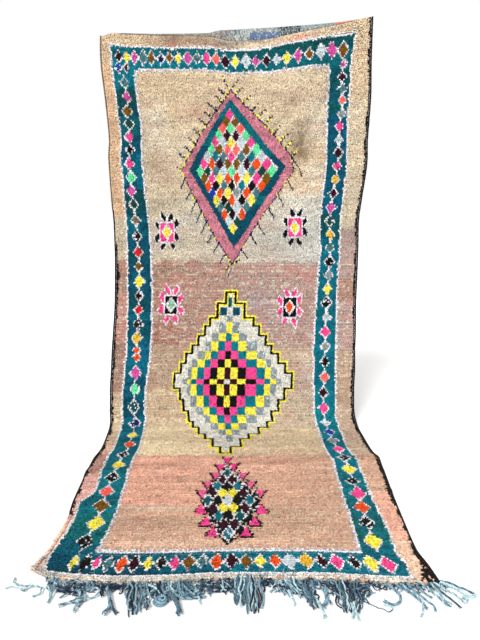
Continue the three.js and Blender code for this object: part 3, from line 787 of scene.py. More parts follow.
for (x, y), side_of, turn in TRIANGLES:
    joint = diamond(x - 16 * side_of, y + 4 * turn, 27, 48) & (Y > 2790)
    lay(joint, "black")
    lay(joint & (cloudy(73, 8, 11) > 0.3), "white")
    lay(pointed(x + 5 * side_of, y + 4, turn, 36, 0.4), "black")
    if side_of:
        horn = (x + side_of * 26, y + turn * 14)
        stitches(horn, (horn[0] + side_of * 7, horn[1] + (8 if turn > 0 else -18)), "black")
    else:
        stitches((x - 20, y - 24), (x - 26, y - 40), "black")
        stitches((x + 20, y - 24), (x + 26, y - 40), "black")
for (x, y), side_of, turn in TRIANGLES:
    lay(pointed(x, y, turn, 31 if turn < 0 else 35, 0.37), "rosy" if 2900 < y < 3100 else "pink")
print("triangles", len(TRIANGLES))

# %% [markdown]
# Between the diamonds the ground is black, with thin white strokes beside them, thicker to the right.
# The strokes of a row are laid before its diamonds, so that the diamonds stay whole.

# %% Diamonds of the lower medallion
LOW_LATTICE = """lagoon/maroon maroon/teal black teal/maroon yellow yellow maroon/
    lagoon black ice black teal/maroon yellow yellow maroon/teal black lagoon/maroon maroon/
    teal""".split("/")
for row, line_of_wools in enumerate(LOW_LATTICE):
    wools = line_of_wools.split()
    y = 2898 + 57 * row
    middle = -43 + 20 * row / 8
    places = [step * (46 if step < 0 else 52) for step in np.arange(len(wools)) - (len(wools) - 1) / 2]
    for colour, step_x in zip(wools, places):
        x = middle + step_x
        if colour in ("teal", "lagoon", "ice"):
            lay(diamond(x + 2, y + 2, 31, 56) & (cloudy(71, 8, 11) > -0.3), "white")
        elif colour != "yellow":
            lay(diamond(x + 9, y + 3, 24, 46) & (cloudy(72, 8, 11) > 0.0), "white")
    for colour, step_x in zip(wools, places):
        lay(diamond(middle + step_x, y, 22 + 3 * (colour == "yellow"), 42), colour)
stitches((-34, 3330), (6, 3392), "white")
stitches((-22, 3424), (34, 3362), "black")
stitches((-22, 3424), (-62, 3372), "black")
stitches((-22, 3412), (-50, 3372), "white")
stitches((-2, 3350), (26, 3300), "white")
print("rows of diamonds", len(LOW_LATTICE))

# %% [markdown]
# Four small stars stand beside the medallions. Each is a square core with a diamond in it, and eight
# petals, two on every side, all outlined in white. The petals lean a little, each its own way.

# %% Stars
# across and down from the middle, half width, half height, slant
PETALS = ((-21, -88, 16, 36, 0.34), (26, -88, 16, 36, -0.3), (-24, 84, 16, 35, -0.26), (28, 84, 16, 35, 0.3),
          (-56, -38, 20, 31, 0.3), (58, -42, 20, 31, -0.35), (-58, 33, 20, 31, -0.2), (58, 30, 20, 31, 0.25))

def star(x, y, petals, core, heart, seed):
    own = np.random.default_rng(seed)
    blades = np.zeros((ROWS, COLUMNS), bool)
    for dx, dy, half_x, half_y, slant in PETALS:
        dx, dy = dx + own.uniform(-4, 4), dy + own.uniform(-5, 5)
        blades |= np.abs(X - x - dx - slant * (Y - y - dy)) / half_x + np.abs(Y - y - dy) / half_y < 1
    square = (np.abs(X - x) < 40) & (np.abs(Y - y) < 57)
    lay(edged(blades) & (broken > 0.22), "white")
    lay(blades, petals)
    lay(edged(square), "white")
    lay(square, core)
    lay(diamond(x, y, 37, 52), "white")
    lay(diamond(x, y, 24, 36), heart)

star(-430, 1175, "black", "pink", "yellow", 73)
star(363, 1149, "black", "pink", "yellow", 74)
star(-404, 1626, "pink", "black", "sage", 75)
star(341, 1641, "pink", "black", "orange", 76)
print("petals on each star", len(PETALS))

# %% [markdown]
# The outermost knots are tied in the same dark goat hair as the overcast edge, one to three to a row,
# so that the dark line looks ragged. On the right they run all the way down, and on the left only
# where that edge is dark. A band of cream wool closes the foot, and pale knots show on the corner
# that is turned up.

# %% Dark edge knots and the closing band
frayed = 10 + 8 * cloudy(81, 900, 13) + 5 * cloudy(82, 900, 40)
frayed = np.maximum(frayed, 6)
below_tan = Y > 1240 + 60 * cloudy(83, 400, 400)
dark_left = (X + HALF_WIDTH < frayed - 4 * smoothstep(Y, 2200, 2600)) & below_tan & (Y < 3230)
gap = smoothstep(Y, 3120, 3180) * (1 - smoothstep(Y, 3400, 3450))
dark_right = HALF_WIDTH - X < frayed + 2 * smoothstep(Y, 2600, 2900) - 9 * gap
lay((dark_left | dark_right) & (Y < 3590), "hair")
corner = (HALF_WIDTH - X) + (CLOTH_LENGTH - Y) * 0.5 < 62
lay(corner & (cloudy(84, 10, 12) > -0.3), "hair")
closing = (Y > 3588) & (X < 690) & (X > -720)
lay(closing & (cloudy(85, 11, 400) > -0.5), WOOL["cream"] * (0.86 + 0.16 * cloudy(86, 20, 20))[..., None])
turned = (X < -655) & (Y > 3500) & (cloudy(87, 9, 12) > 0.1) & ~band
lay(turned, WOOL["white"] * (0.75 + 0.4 * cloudy(88, 16, 16))[..., None])
print("knots of dark hair", int((dark_left | dark_right).sum()))

# %% [markdown]
# No two tufts of handspun wool take the light alike. Each knot is made lighter or darker by a little,
# each row by less. A few knots in the ground are pale or dark flecks, some are pinker, and some in
# the motifs are duller.

# %% Uneven yarn
uneven = np.random.default_rng(91)
spread = np.where(on_ground, 0.1, 0.11)
yarn *= (1 + spread * uneven.standard_normal((ROWS, COLUMNS)).clip(-2.2, 2.2))[..., None]
yarn *= (1 + 0.04 * uneven.standard_normal((ROWS, 1)))[..., None]
flecks = on_ground & (uneven.random((ROWS, COLUMNS)) < 0.06)
yarn[flecks] *= uneven.choice([0.55, 0.7, 1.25], int(flecks.sum()))[:, None]
pinkish = on_ground & (uneven.random((ROWS, COLUMNS)) < 0.07)
yarn[pinkish] = yarn[pinkish] * 0.6 + GROUND_WOOL["rose"] * 0.4
dull = ~on_ground & (uneven.random((ROWS, COLUMNS)) < 0.16)
yarn[dull] *= uneven.uniform(0.55, 0.85, int(dull.sum()))[:, None]
yarn = np.clip(yarn, 0.003, 0.97)
print("mean of the yarn", yarn.mean((0, 1)).round(3))

# %% [markdown]
# Sheep's wool, handspun and knotted: matt, with the faintest sheen where fibres catch the light along
# the edge of a form. Its refractive index is about 1.55 but the fibres scatter, so the gloss is
# turned down. The colour comes from each knot's own attribute, and a fine noise of 2 mm, coarser
# than real fibres so that it shows, mottles it and gives the bump.

# %% Wool material
def wool_material(name, roughness=0.95, sheen=0.04, bump_mm=0.8, grain_mm=2.2, mottle=0.18, depth=1.0):
    made, tree = new_material(name)
    colour = node(tree, "Attribute", {"attribute_name": "yarn"})
    where = node(tree, "TexCoord")
    fibres = node(tree, "TexNoise", inputs={
        "Vector": where.outputs["Object"], "Scale": 1 / (grain_mm * MM), "Detail": 2.0, "Roughness": 0.6})
    shade = node(tree, "MapRange", inputs={
        "Value": fibres.outputs["Fac"], "From Min": 0.3, "From Max": 0.7,
        "To Min": depth * (1 - mottle), "To Max": depth * (1 + mottle)})
    mixed = node(tree, "VectorMath", {"operation": "SCALE"}, {
        0: colour.outputs["Color"], "Scale": shade.outputs["Result"]})
    relief_of = node(tree, "Bump", inputs={
        "Strength": 0.7, "Distance": bump_mm * MM, "Height": fibres.outputs["Fac"]})
    surface = node(tree, "BsdfPrincipled", inputs={
        "Base Color": mixed.outputs["Vector"], "Roughness": roughness, "IOR": 1.55,
        "Specular IOR Level": 0.08, "Sheen Weight": sheen, "Sheen Roughness": 0.5,
        "Normal": relief_of.outputs["Normal"]})
    node(tree, "OutputMaterial", inputs={"Surface": surface.outputs["BSDF"]})
    return made

pile_wool = wool_material("handspun_wool_pile")
shaded_wool = wool_material("wool_between_tufts", depth=0.5)
back_wool = wool_material("knotted_wool_back", roughness=0.96, mottle=0.14, depth=0.85)
hair_wrap = wool_material("overcast_goat_hair", roughness=0.85, sheen=0.05, bump_mm=1.0, grain_mm=3)
web_wool = wool_material("weft_faced_wool_web")

print("wools made", [made.name for made in (pile_wool, shaded_wool, back_wool, hair_wrap, web_wool)])

# %% [markdown]
# Every piece is finished the same way: it gets its material, the colours of its wool, and a place under the
# root body.

# %% Tools that finish a piece
def hold_colours(mesh, colours, domain):
    held = mesh.color_attributes.new("yarn", "FLOAT_COLOR", domain)
    with_alpha = np.column_stack([colours, np.ones(len(colours))])
    held.data.foreach_set("color", with_alpha.astype(np.float32).ravel())

def finish_mesh(name, mesh, material, colours=None):
    made = add_object(name, mesh)
    mesh.materials.append(material)
    if colours is not None:
        hold_colours(mesh, colours, "POINT")
    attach(made, "root")
    return made

def move_verts(bm, places):
    for vert, at in zip(bm.verts, places):
        vert.co = at

# %% [markdown]
# The base cloth is what the knots are tied on: warps and wefts, and the flat back of every knot. It
# is a grid laid on the folds, coloured by the knots that it carries, so the design shows on the back
# of the rug as it does on a real one. Solidify gives it 4 mm of thickness towards the wall. Between
# the tufts, where little light gets down, its front is the same wool but darker. Where it lies on the
# floor it is less dark, because light falls straight down between them there.

# %% Base cloth
CLOTH_LIFT = 4.0
CLOTH_ACROSS, CLOTH_DOWN = 136, 240
LIES_FROM, LIES_TO = 2250, 2450

def uv_layer(bm, across_and_row):
    layer = bm.loops.layers.uv.new("OFBake")
    for face in bm.faces:
        for loop in face.loops:
            loop[layer].uv = across_and_row[loop.vert.index]

def knot_colour(across, row):
    column = np.clip((across * COLUMNS).astype(int), 0, COLUMNS - 1)
    line = np.clip((row * ROWS).astype(int), 0, ROWS - 1)
    return yarn[line, column]

bm = bmesh.new()
bmesh.ops.create_grid(bm, x_segments=CLOTH_ACROSS, y_segments=CLOTH_DOWN, size=0.5)
bm.verts.ensure_lookup_table()
flat = np.array([(v.co.x + 0.5, 0.5 - v.co.y) for v in bm.verts])
move_verts(bm, cloth_point(flat[:, 0], flat[:, 1], CLOTH_LIFT))
uv_layer(bm, [(across, 1 - row) for across, row in flat])
cloth_mesh = bpy.data.meshes.new("base_cloth")
bm.to_mesh(cloth_mesh)
bm.free()
base_cloth = finish_mesh("base_cloth", cloth_mesh, shaded_wool)
cloth_mesh.materials.append(back_wool)
corners = np.zeros(len(cloth_mesh.loops), int)
cloth_mesh.loops.foreach_get("vertex_index", corners)
face_middle = flat[corners].reshape(-1, 4, 2).mean(1)
face_colours = knot_colour(face_middle[:, 0], face_middle[:, 1])
less_dark = smoothstep(face_middle[:, 1:] * CLOTH_LENGTH, LIES_FROM, LIES_TO)
face_colours = face_colours * (1 + 0.7 * less_dark)
hold_colours(cloth_mesh, np.repeat(face_colours, 4, 0), "CORNER")
front = cloth_mesh.polygons[len(cloth_mesh.polygons) // 2].normal
thickness = base_cloth.modifiers.new("thickness", "SOLIDIFY")
thickness.thickness = CLOTH_LIFT * MM
thickness.offset = -1 if front.y < 0 or front.z > 0 else 1
thickness.material_offset = 1
thickness.material_offset_rim = 1
print("base cloth faces", len(cloth_mesh.polygons), "front looks", tuple(round(v, 2) for v in front))

# %% [markdown]
# A knot shows two cut ends of yarn. Each end is one tuft: a leaf with a low root, a raised tip and
# two shoulders, so it has four triangles and lies over the next row like thatch. A cone operator
# makes it from three sides. It is turned so that its tip points down the cloth.

# %% One tuft of pile
bm = bmesh.new()
bmesh.ops.create_cone(bm, cap_ends=True, segments=3, radius1=0.58, radius2=0, depth=1.0)
bmesh.ops.rotate(bm, verts=bm.verts, cent=(0, 0, 0), matrix=Matrix.Rotation(math.pi, 3, "X"))
bmesh.ops.translate(bm, vec=(0, 0, 0.5), verts=bm.verts)
bmesh.ops.triangulate(bm, faces=bm.faces)
bmesh.ops.recalc_face_normals(bm, faces=bm.faces)
bm.verts.ensure_lookup_table()
TUFT = np.array([tuple(v.co) for v in bm.verts])
TUFT_FACES = np.array([[v.index for v in face.verts] for face in bm.faces])
bm.free()
top_ring = TUFT[:, 2] > 0.5
ahead = TUFT[top_ring][:, :2]
turn_to_tip = math.pi / 2 - math.atan2(ahead[0, 1], ahead[0, 0])
cos_tip, sin_tip = math.cos(turn_to_tip), math.sin(turn_to_tip)
spin = np.array([[cos_tip, -sin_tip], [sin_tip, cos_tip]])
TUFT[:, :2] = TUFT[:, :2] @ spin.T
TIP = top_ring & (TUFT[:, 1] > 0.3)
SHOULDER = top_ring & ~TIP
TUFT[SHOULDER, 2] = 0.66
print("a tuft has", len(TUFT_FACES), "triangles")

# %% [markdown]
# Particles or instances could carry the tuft over the rug, but it is copied by array arithmetic into plain
# meshes instead, 48,960 to a band. Each copy leans down the cloth, turns by its own angle and has its own
# height. Its root is painted dark as shade, because no light gets down between the tufts, and a little less
# dark where the rug lies on the floor; its tip is painted a little lighter than the knot's colour, as light
# catching it. Near the foot on the left, where the edge is slim, the outermost tufts are laid over it.

# %% Pile of tufts in three bands
BANDS = 3
rows_a_band = ROWS // BANDS
RIBS_FROM, OVER_EDGE_FROM = 1360, 3235
TUFT_TALL, LEAST_TALL, MOST_TALL = 7.0, 3.8, 10.5
LEAN_DEGREES = 40
tuft_random = np.random.default_rng(101)

def unit(vectors):
    return vectors / np.linalg.norm(vectors, axis=-1, keepdims=True)

def pile_band(index):
    rows, columns, ends = np.mgrid[index * rows_a_band:(index + 1) * rows_a_band, 0:COLUMNS, 0:2]
    rows, columns, ends = rows.ravel(), columns.ravel(), ends.ravel()
    count = len(rows)
    motif = ~on_ground[rows, columns]
    ribbed = ~motif & (Y[rows, columns] > RIBS_FROM)
    loose = np.where(motif, 0.13, np.where(ribbed, 0.2, 0.28))
    shift = tuft_random.uniform(-1, 1, (2, count)) * loose
    beside_knot = (ends - 0.5) * 0.5
    across = np.clip((columns + 0.5 + beside_knot + shift[0]) / COLUMNS, 0.002, 0.998)
    row = np.clip((rows + 0.02 + shift[1] * np.where(ribbed, 0.5, 1)) / ROWS, 0.0005, 0.999)
    over_edge = (columns < 2) & (Y[rows, columns] > OVER_EDGE_FROM)
    across = across - 0.0055 * over_edge
    root = cloth_point(across, row, CLOTH_LIFT - 0.6 + 1.2 * over_edge)
    beside = unit(cloth_point(across + 0.002, row, CLOTH_LIFT) - cloth_point(across - 0.002, row, CLOTH_LIFT))
    down = unit(cloth_point(across, row + 0.0005, CLOTH_LIFT) - cloth_point(across, row - 0.0005, CLOTH_LIFT))
    out = unit(np.cross(beside, -down))
    lying = smoothstep(Y[rows, columns], LIES_FROM, LIES_TO)
    tall = TUFT_TALL + 1.6 * motif - 0.8 * ribbed - 0.8 * lying + tuft_random.normal(0, 0.8, count)
    tall = tall.clip(LEAST_TALL, MOST_TALL)
    run_down = np.tan(np.radians(tuft_random.normal(LEAN_DEGREES, 8, count)).clip(0.2, 1.05)) * tall
    drift = tuft_random.normal(0, np.where(motif, 0.14, 0.24), count)
    turn = tuft_random.normal(0, 0.35, count)
    roll = tuft_random.normal(0, 0.3, count)
    wide = KNOT_WIDE * 0.98 * tuft_random.uniform(0.85, 1.2, count)
    c, s = np.cos(turn)[:, None], np.sin(turn)[:, None]
    shape_x, shape_y = TUFT[None, :, 0] * wide[:, None], TUFT[None, :, 1] * wide[:, None] * 1.15
    z = (TUFT[None, :, 2] + 0.3 * SHOULDER * lying[:, None]) * tall[:, None] + shape_x * roll[:, None]
    x = shape_x * c - shape_y * s + drift[:, None] * z
    y = shape_x * s + shape_y * c + run_down[:, None] * TUFT[None, :, 2]
    points = (root[:, None] + (x[..., None] * beside[:, None] + y[..., None] * down[:, None]
                               + z[..., None] * out[:, None]) * MM)
    base = yarn[rows, columns] * (1 + tuft_random.normal(0, 0.07, count))[:, None]
    # Painted shade darkens each root, and painted light brightens each tip.
    light = np.where(TIP, 1.12, np.where(SHOULDER, 1.0, 0.42 + 0.4 * lying[:, None]))
    shaded = (base[:, None] * light[..., None]).clip(0, 1)
    mesh = bpy.data.meshes.new(f"pile_band_{index + 1}")
    vertex_count, face_count = points.shape[0] * points.shape[1], count * len(TUFT_FACES)
    corners = (TUFT_FACES[None] + (np.arange(count) * len(TUFT))[:, None, None]).reshape(-1)
    mesh.vertices.add(vertex_count)
    mesh.vertices.foreach_set("co", points.astype(np.float32).ravel())
    mesh.loops.add(len(corners))
    mesh.loops.foreach_set("vertex_index", corners.astype(np.int32))
    mesh.polygons.add(face_count)
    mesh.polygons.foreach_set("loop_start", np.arange(0, len(corners), 3, dtype=np.int32))
    row_in_band = rows[:, None] - index * rows_a_band
    cell = np.stack([
        (columns[:, None] + 0.5 + beside_knot[:, None] + TUFT[None, :, 0] * 0.4) / COLUMNS,
        1 - (row_in_band + 0.5 + TUFT[None, :, 1] * 0.7) / rows_a_band], -1)
    layer = mesh.uv_layers.new(name="OFBake")
    layer.data.foreach_set("uv", cell.reshape(-1, 2)[corners].astype(np.float32).ravel())
    mesh.update(calc_edges=True)
    mesh.validate()
    mesh.shade_flat()
    return finish_mesh(f"pile_band_{index + 1}", mesh, pile_wool, shaded.reshape(-1, 3))

pile_bands = [pile_band(index) for index in range(BANDS)]
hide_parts("rug_pile")
print("tufts", ROWS * COLUMNS * 2, "triangles a band", len(pile_bands[0].data.polygons))

# %% [markdown]
# Each side edge is overcast: goat hair wound round the outer warps in close, slanting turns. A grid is
# rolled into a tube down the edge, and each turn of hair bulges a little, once every 6 mm.
# The left one is brown and tan above, where other wool was used, and near-black below. Close to the
# foot it is slimmer, and the wool of the pile covers it.

# %% Overcast selvedges
TURN_MM = 6.0
SIDES = 8
HALF_WIDE, HALF_THICK = 4.7, 5.9
SLIM_FROM, SLIM_TO = 3200, 3270
BARE_FROM, BARE_TO = 3210, 3290
TAN_FROM, TAN_TO = 1.26, 1.36
SEAM = 0.00002

def tube_grid(rings, sides):
    bm = bmesh.new()
    bmesh.ops.create_grid(bm, x_segments=rings, y_segments=sides, size=0.5)
    bm.verts.ensure_lookup_table()
    return bm, np.array([(v.co.x + 0.5, v.co.y + 0.5) for v in bm.verts])

def close_tube(bm):
    bmesh.ops.remove_doubles(bm, verts=bm.verts, dist=SEAM)
    bmesh.ops.holes_fill(bm, edges=[e for e in bm.edges if e.is_boundary], sides=0)
    bmesh.ops.recalc_face_normals(bm, faces=bm.faces)

def mesh_from(bm, name, colour_of):
    mesh = bpy.data.meshes.new(name)
    bm.to_mesh(mesh)
    bm.free()
    points = np.zeros(len(mesh.vertices) * 3, np.float32)
    mesh.vertices.foreach_get("co", points)
    return mesh, colour_of(points.reshape(-1, 3))

def selvedge(name, edge, node_name):
    rings = int(CLOTH_LENGTH / TURN_MM * 3)
    bm, grid = tube_grid(rings, SIDES)
    row, angle = grid[:, 0], grid[:, 1] * 2 * math.pi
    phase = row * CLOTH_LENGTH / TURN_MM * 2 * math.pi + angle
    bulge = 1 + 0.09 * np.cos(phase) + 0.04 * np.cos(phase * 0.31 + 1)
    slim = 1 - 0.55 * smoothstep(row * CLOTH_LENGTH, SLIM_FROM, SLIM_TO) * (edge == 0)
    outset = 0.5 + (HALF_WIDE + HALF_WIDE * np.cos(angle) * bulge) * slim
    lift = 0.2 + (HALF_THICK + HALF_THICK * np.sin(angle) * bulge) * slim
    move_verts(bm, cloth_point(np.full(len(row), float(edge)), row, lift, outset))
    close_tube(bm)
    source = np.random.default_rng(111 + edge)
    bare_run = [cloth_point(edge, along / CLOTH_LENGTH, 0)[1] for along in (BARE_TO, BARE_FROM)]

    def colour_of(co):
        dark = WOOL["hair"] * (1 + 0.3 * source.standard_normal((len(co), 1)).clip(-1.5, 2))
        if edge:
            return dark
        tan = linear("#8a6a4e") * (1 + 0.25 * source.standard_normal((len(co), 1)).clip(-2, 2))
        high = smoothstep(co[:, 2], TAN_FROM, TAN_TO)[:, None]
        mixed = (source.random((len(co), 1)) < high * 0.8) * 1.0
        bare = smoothstep(co[:, 1], *bare_run)[:, None]
        mixed_wool = GROUND_WOOL["peach"] * (1 + 0.2 * source.standard_normal((len(co), 1)).clip(-2, 2))
        dark = dark * (1 - mixed) + tan * mixed
        return dark * bare + mixed_wool * (1 - bare)

    mesh, colours = mesh_from(bm, name, colour_of)
    made = finish_mesh(name, mesh, hair_wrap, colours)
    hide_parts(node_name)
    return made

selvedge_left = selvedge("overcast_edge_left", 0, "selvedge_left")
selvedge_right = selvedge("overcast_edge_right", 1, "selvedge_right")
print("turns of hair on each edge", int(CLOTH_LENGTH / TURN_MM))

# %% [markdown]
# Above the first row of knots the weaver beat in a flat web of grey wool, tall in the middle and
# thin at its ends. It is a grid rolled into a flat tube, with the rib of one weft every 4 mm.
# Grey, slate and green-grey wools were spun together, so it is mottled. It is brown to the left, with
# a blue stretch low in its middle, a darker one to the right and red wool at its right end.

# %% Grey web at the head
WEFT_MM = 4
WEB_LIFT = 3.4
WEB_TONES = ("#a3aba3", "#858e8f", "#6b7679", "#54606c", "#b9b7ab", "#3c434c")
WEB_SHARES = (0.26, 0.26, 0.18, 0.12, 0.12, 0.06)

def head_web():
    bm, grid = tube_grid(300, 18)
    across = WEB_FROM + (WEB_TO - WEB_FROM) * grid[:, 0]
    turn = grid[:, 1]
    top = head_drop(across)
    tall = web_height(across) - 0.3
    front = turn < 0.5
    share = np.where(front, turn * 2, 2 - turn * 2)
    along = top + tall * share
    rounded = np.sqrt(np.clip(1 - (share * 2 - 1) ** 4, 0, 1))
    rib = 0.5 * np.cos(along / WEFT_MM * 2 * math.pi) + 0.5 * np.cos(across * 900 + share * 6)
    lift = np.where(front, WEB_LIFT + (3.6 + rib * 0.8) * rounded, WEB_LIFT - 3.3 * rounded)
    move_verts(bm, place(across, along, lift))
    close_tube(bm)
    source = np.random.default_rng(121)

    def colour_of(co):
        count = len(co)
        tones = np.array([linear(value) for value in WEB_TONES])
        picked = tones[source.choice(len(WEB_TONES), count, p=WEB_SHARES)]
        x, z = co[:, 0:1], co[:, 2:3]
        lot = source.random((count, 1))
        blue = (x > 0.05) & (x < 0.22) & (z < 2.235 + 0.06 * x) & (lot < 0.75)
        dark = (x > 0.21) & (x < 0.33) & (lot < 0.6)
        brown = (x < -0.05) & (lot < 0.5)
        picked = np.where(blue, linear("#56688a"), picked)
        picked = np.where(dark, linear("#2b3240"), picked)
        picked = np.where(brown, linear("#7d6a60"), picked)
        picked = np.where((x > 0.52) & (lot < 0.7), linear("#d0705f"), picked)
        return picked * (1 + 0.12 * source.standard_normal((count, 1)).clip(-2, 2))

    mesh, colours = mesh_from(bm, "head_web", colour_of)
    made = finish_mesh("grey_head_web", mesh, web_wool, colours)
    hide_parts("head_web")
    return made

grey_web = head_web()
print("web faces", len(grey_web.data.polygons))

# %% [markdown]
# The fringe is what is left of the warps and a row of torn blue rags. Some of its cords curl, some loop back,
# some lie side by side. The path of each was read place by place, in one of four enlarged views of the
# picture. A view has its left and top corner in the picture's own 480 by 640 frame, and how many times it is
# enlarged. Each place of a path is across and down in its view.

# %% Paths of the cords
# left, top, enlargement
VIEWS = {"a": (0, 560, 12.06), "b": (120, 570, 12.06), "c": (240, 565, 12.06), "d": (360, 560, 13.07)}
# view, half thickness in millimetres, tone from pale to navy, places along the cord
CORDS = (
    ("a", 3.0, 0, "395,310 300,320 240,310 200,300 165,260 180,205"),
    ("a", 3.0, 0, "370,330 280,350 180,325 120,325 60,345"),
    ("a", 3.0, 1, "370,300 320,330 290,375 250,360"),
    ("a", 3.4, 0, "380,310 480,330 500,370 470,410 390,445"),
    ("a", 3.6, 1, "570,260 560,205 600,170 650,190 645,255 600,290 570,330 590,350"),
    ("a", 3.6, 0, "570,300 585,350 600,420 575,510"),
    ("a", 3.6, 1, "650,270 655,350 620,430 600,480 570,512"),
    ("a", 3.6, 2, "640,180 690,250 700,340 690,385"),
    ("a", 4.5, 3, "690,385 780,370 860,320 900,280"),
    ("a", 4.5, 3, "700,330 790,330 850,300"),
    ("a", 3.6, 1, "880,320 890,270 950,255 1000,295 975,355 900,375 870,330"),
    ("a", 3.0, 2, "920,310 960,290 1020,310 990,365 930,380"),
    ("a", 3.6, 1, "1030,340 1060,290 1105,275 1130,315 1090,350 1040,330"),
    ("a", 3.6, 1, "1100,380 1150,345 1200,380 1150,440 1060,465 1030,425"),
    ("a", 4.8, 1, "950,390 962,470 940,530 895,595 905,628"),
    ("a", 5.0, 1, "1010,470 900,515 800,520 712,562"),
    ("a", 3.6, 2, "990,440 880,500 760,528"),
    ("a", 3.6, 2, "1040,480 985,505 950,565"),
    ("a", 4.5, 4, "1195,330 1215,380 1235,445"),
    ("a", 6.5, 1, "1290,360 1312,470 1330,560 1300,605 1250,662"),
    ("a", 5.5, 2, "1310,470 1350,570 1400,650"),
    ("a", 4.5, 3, "1270,330 1380,300 1470,320 1500,290"),
    ("a", 4.5, 4, "1280,290 1390,350 1480,300"),
    ("b", 4.0, 0, "350,190 450,240 485,300 530,312"),
    ("b", 4.0, 1, "360,300 400,250 470,270"),
    ("b", 8.0, 2, "600,300 660,370 695,440 700,550"),
    ("b", 5.0, 1, "640,350 720,430 725,520"),
    ("b", 4.2, 1, "590,160 600,230 680,295 760,350 850,340"),
    ("b", 4.2, 1, "765,180 795,245 880,280 975,228"),
    ("b", 4.2, 0, "870,300 930,260 985,225"),
    ("b", 4.2, 2, "700,330 850,345 985,310 1025,335"),
    ("b", 3.4, 0, "940,330 958,370 966,412"),
    ("b", 3.0, 0, "1235,140 1248,225 1200,260"),
    ("b", 3.0, 0, "1262,140 1345,222"),
    ("b", 3.6, 0, "1392,225 1390,120 1440,85 1500,140 1475,245 1420,290 1388,240"),
    ("c", 4.2, 2, "430,215 480,290 560,345 625,330"),
    ("c", 4.5, 0, "590,320 640,430 662,492"),
    ("c", 4.5, 1, "520,180 620,260 705,335 740,400"),
    ("c", 4.5, 3, "600,190 760,280 840,370 852,488"),
    ("c", 4.5, 2, "740,330 830,430 905,530"),
    ("c", 4.5, 2, "850,290 880,400 950,510"),
    ("c", 3.8, 0, "880,380 965,470 1005,560 1022,642"),
    ("c", 3.8, 0, "930,430 980,530 1045,632"),
    ("c", 3.8, 2, "890,165 985,280 1050,400 1112,478"),
    ("c", 7.0, 1, "1020,300 1045,400 1010,520"),
    ("c", 2.4, 0, "920,180 1000,290 1105,490"),
    ("c", 2.4, 0, "1040,290 1160,350 1270,420"),
    ("c", 5.0, 1, "1340,480 1375,560 1350,642"),
    ("c", 4.5, 0, "1370,470 1400,580 1438,672"),
    ("c", 3.8, 3, "1420,320 1500,260 1560,310 1540,380"),
    ("c", 3.0, 3, "1430,330 1500,400 1560,468"),
    ("d", 3.6, 4, "0,330 70,360 125,420 90,470 50,430 90,390"),
    ("d", 3.6, 3, "0,400 60,470 20,560"),
    ("d", 2.2, 2, "20,500 100,570 200,600 290,630 370,668 425,645"),
    ("d", 5.0, 1, "330,330 400,370 470,415 525,470 520,545 455,592 385,580 305,530"),
    ("d", 3.6, 0, "320,600 380,590 430,630"),
    ("d", 4.2, 2, "480,345 600,400 700,470 800,560 885,632"),
    ("d", 4.2, 1, "600,310 720,420 850,520 955,590 990,662"),
    ("d", 3.6, 0, "815,530 828,650 802,745"),
    ("d", 4.2, 2, "720,320 830,430 940,495"),
    ("d", 4.6, 1, "800,310 920,415 1040,505 1130,580 1200,605"),
    ("d", 4.0, 3, "880,300 1000,390 1120,470 1230,540 1320,622"),
    ("d", 4.2, 0, "960,300 1100,380 1250,460 1370,560 1405,520 1330,480"),
    ("d", 5.4, 0, "1060,300 1200,365 1330,430 1450,490 1525,470"),
    ("d", 4.0, 2, "1050,280 1180,310 1300,355 1400,400 1500,440"),
    ("d", 4.2, 1, "540,330 650,400 760,500 850,590"),
    ("d", 4.4, 1, "920,310 1020,420 1110,530 1190,575"),
)

def path_of(text):
    return np.array([[float(value) for value in place_of.split(",")] for place_of in text.split()])

print("cords", len(CORDS))

# %% [markdown]
# A place in the picture is a line of sight from the camera. Where that line meets the floor, a few
# millimetres up, is where the cord lies, to the nearest millimetre. So the cords lie on the floor
# from any side, and they also fall where the picture shows them.

# %% Where the cords lie on the floor
CORD_LEVEL = 6.0
CAMERA_MM = np.array(CAMERA_AT) / MM
FOCAL_PIXELS = LENS_MM / SENSOR_MM * PICTURE_TALL

def on_floor(view, text):
    left, top, enlarged = VIEWS[view]
    at = np.array([left, top]) + path_of(text) / enlarged
    aside = (at[:, 0] - PICTURE_WIDE / 2) / FOCAL_PIXELS
    above = (PICTURE_TALL / 2 - at[:, 1]) / FOCAL_PIXELS
    tipped = math.radians(CAMERA_TIPPED)
    forward = math.cos(tipped) + above * math.sin(tipped)
    upward = above * math.cos(tipped) - math.sin(tipped)
    reach = (CORD_LEVEL - CAMERA_MM[2]) / upward
    return np.round(CAMERA_MM[:2] + np.column_stack([aside, forward]) * reach[:, None])

lying_cords = [(thick, tone, on_floor(view, text)) for view, thick, tone, text in CORDS]
lengths = [np.linalg.norm(np.diff(path, axis=0), axis=1).sum() for thick, tone, path in lying_cords]
print("cords run", round(min(lengths)), "to", round(max(lengths)), "mm")

# %% [markdown]
# A curve is the natural way to make a strand, because it has a path and a thickness that tapers. A
# cord is three such strands twisted round its path, and they part at its tip. Tassels and combs are
# bundles of single strands, and short curls tangle along the strip. These are placed in millimetres
# of floor. A few cords were flicked back and lie on the pile.

# %% Cords on the pile, bundles and curls
# half thickness, tone, places along the cord
CORDS_ON_PILE = (
    (2.6, 0, "78,-698 82,-672 88,-655"), (2.6, 0, "112,-694 122,-664 135,-640"),
    (2.4, 1, "178,-706 202,-655 226,-606"), (2.6, 0, "150,-696 160,-650 175,-622"),
    (1.8, 1, "471,-628 475,-666 485,-718"), (2.4, 2, "96,-694 99,-670 108,-662"),
)
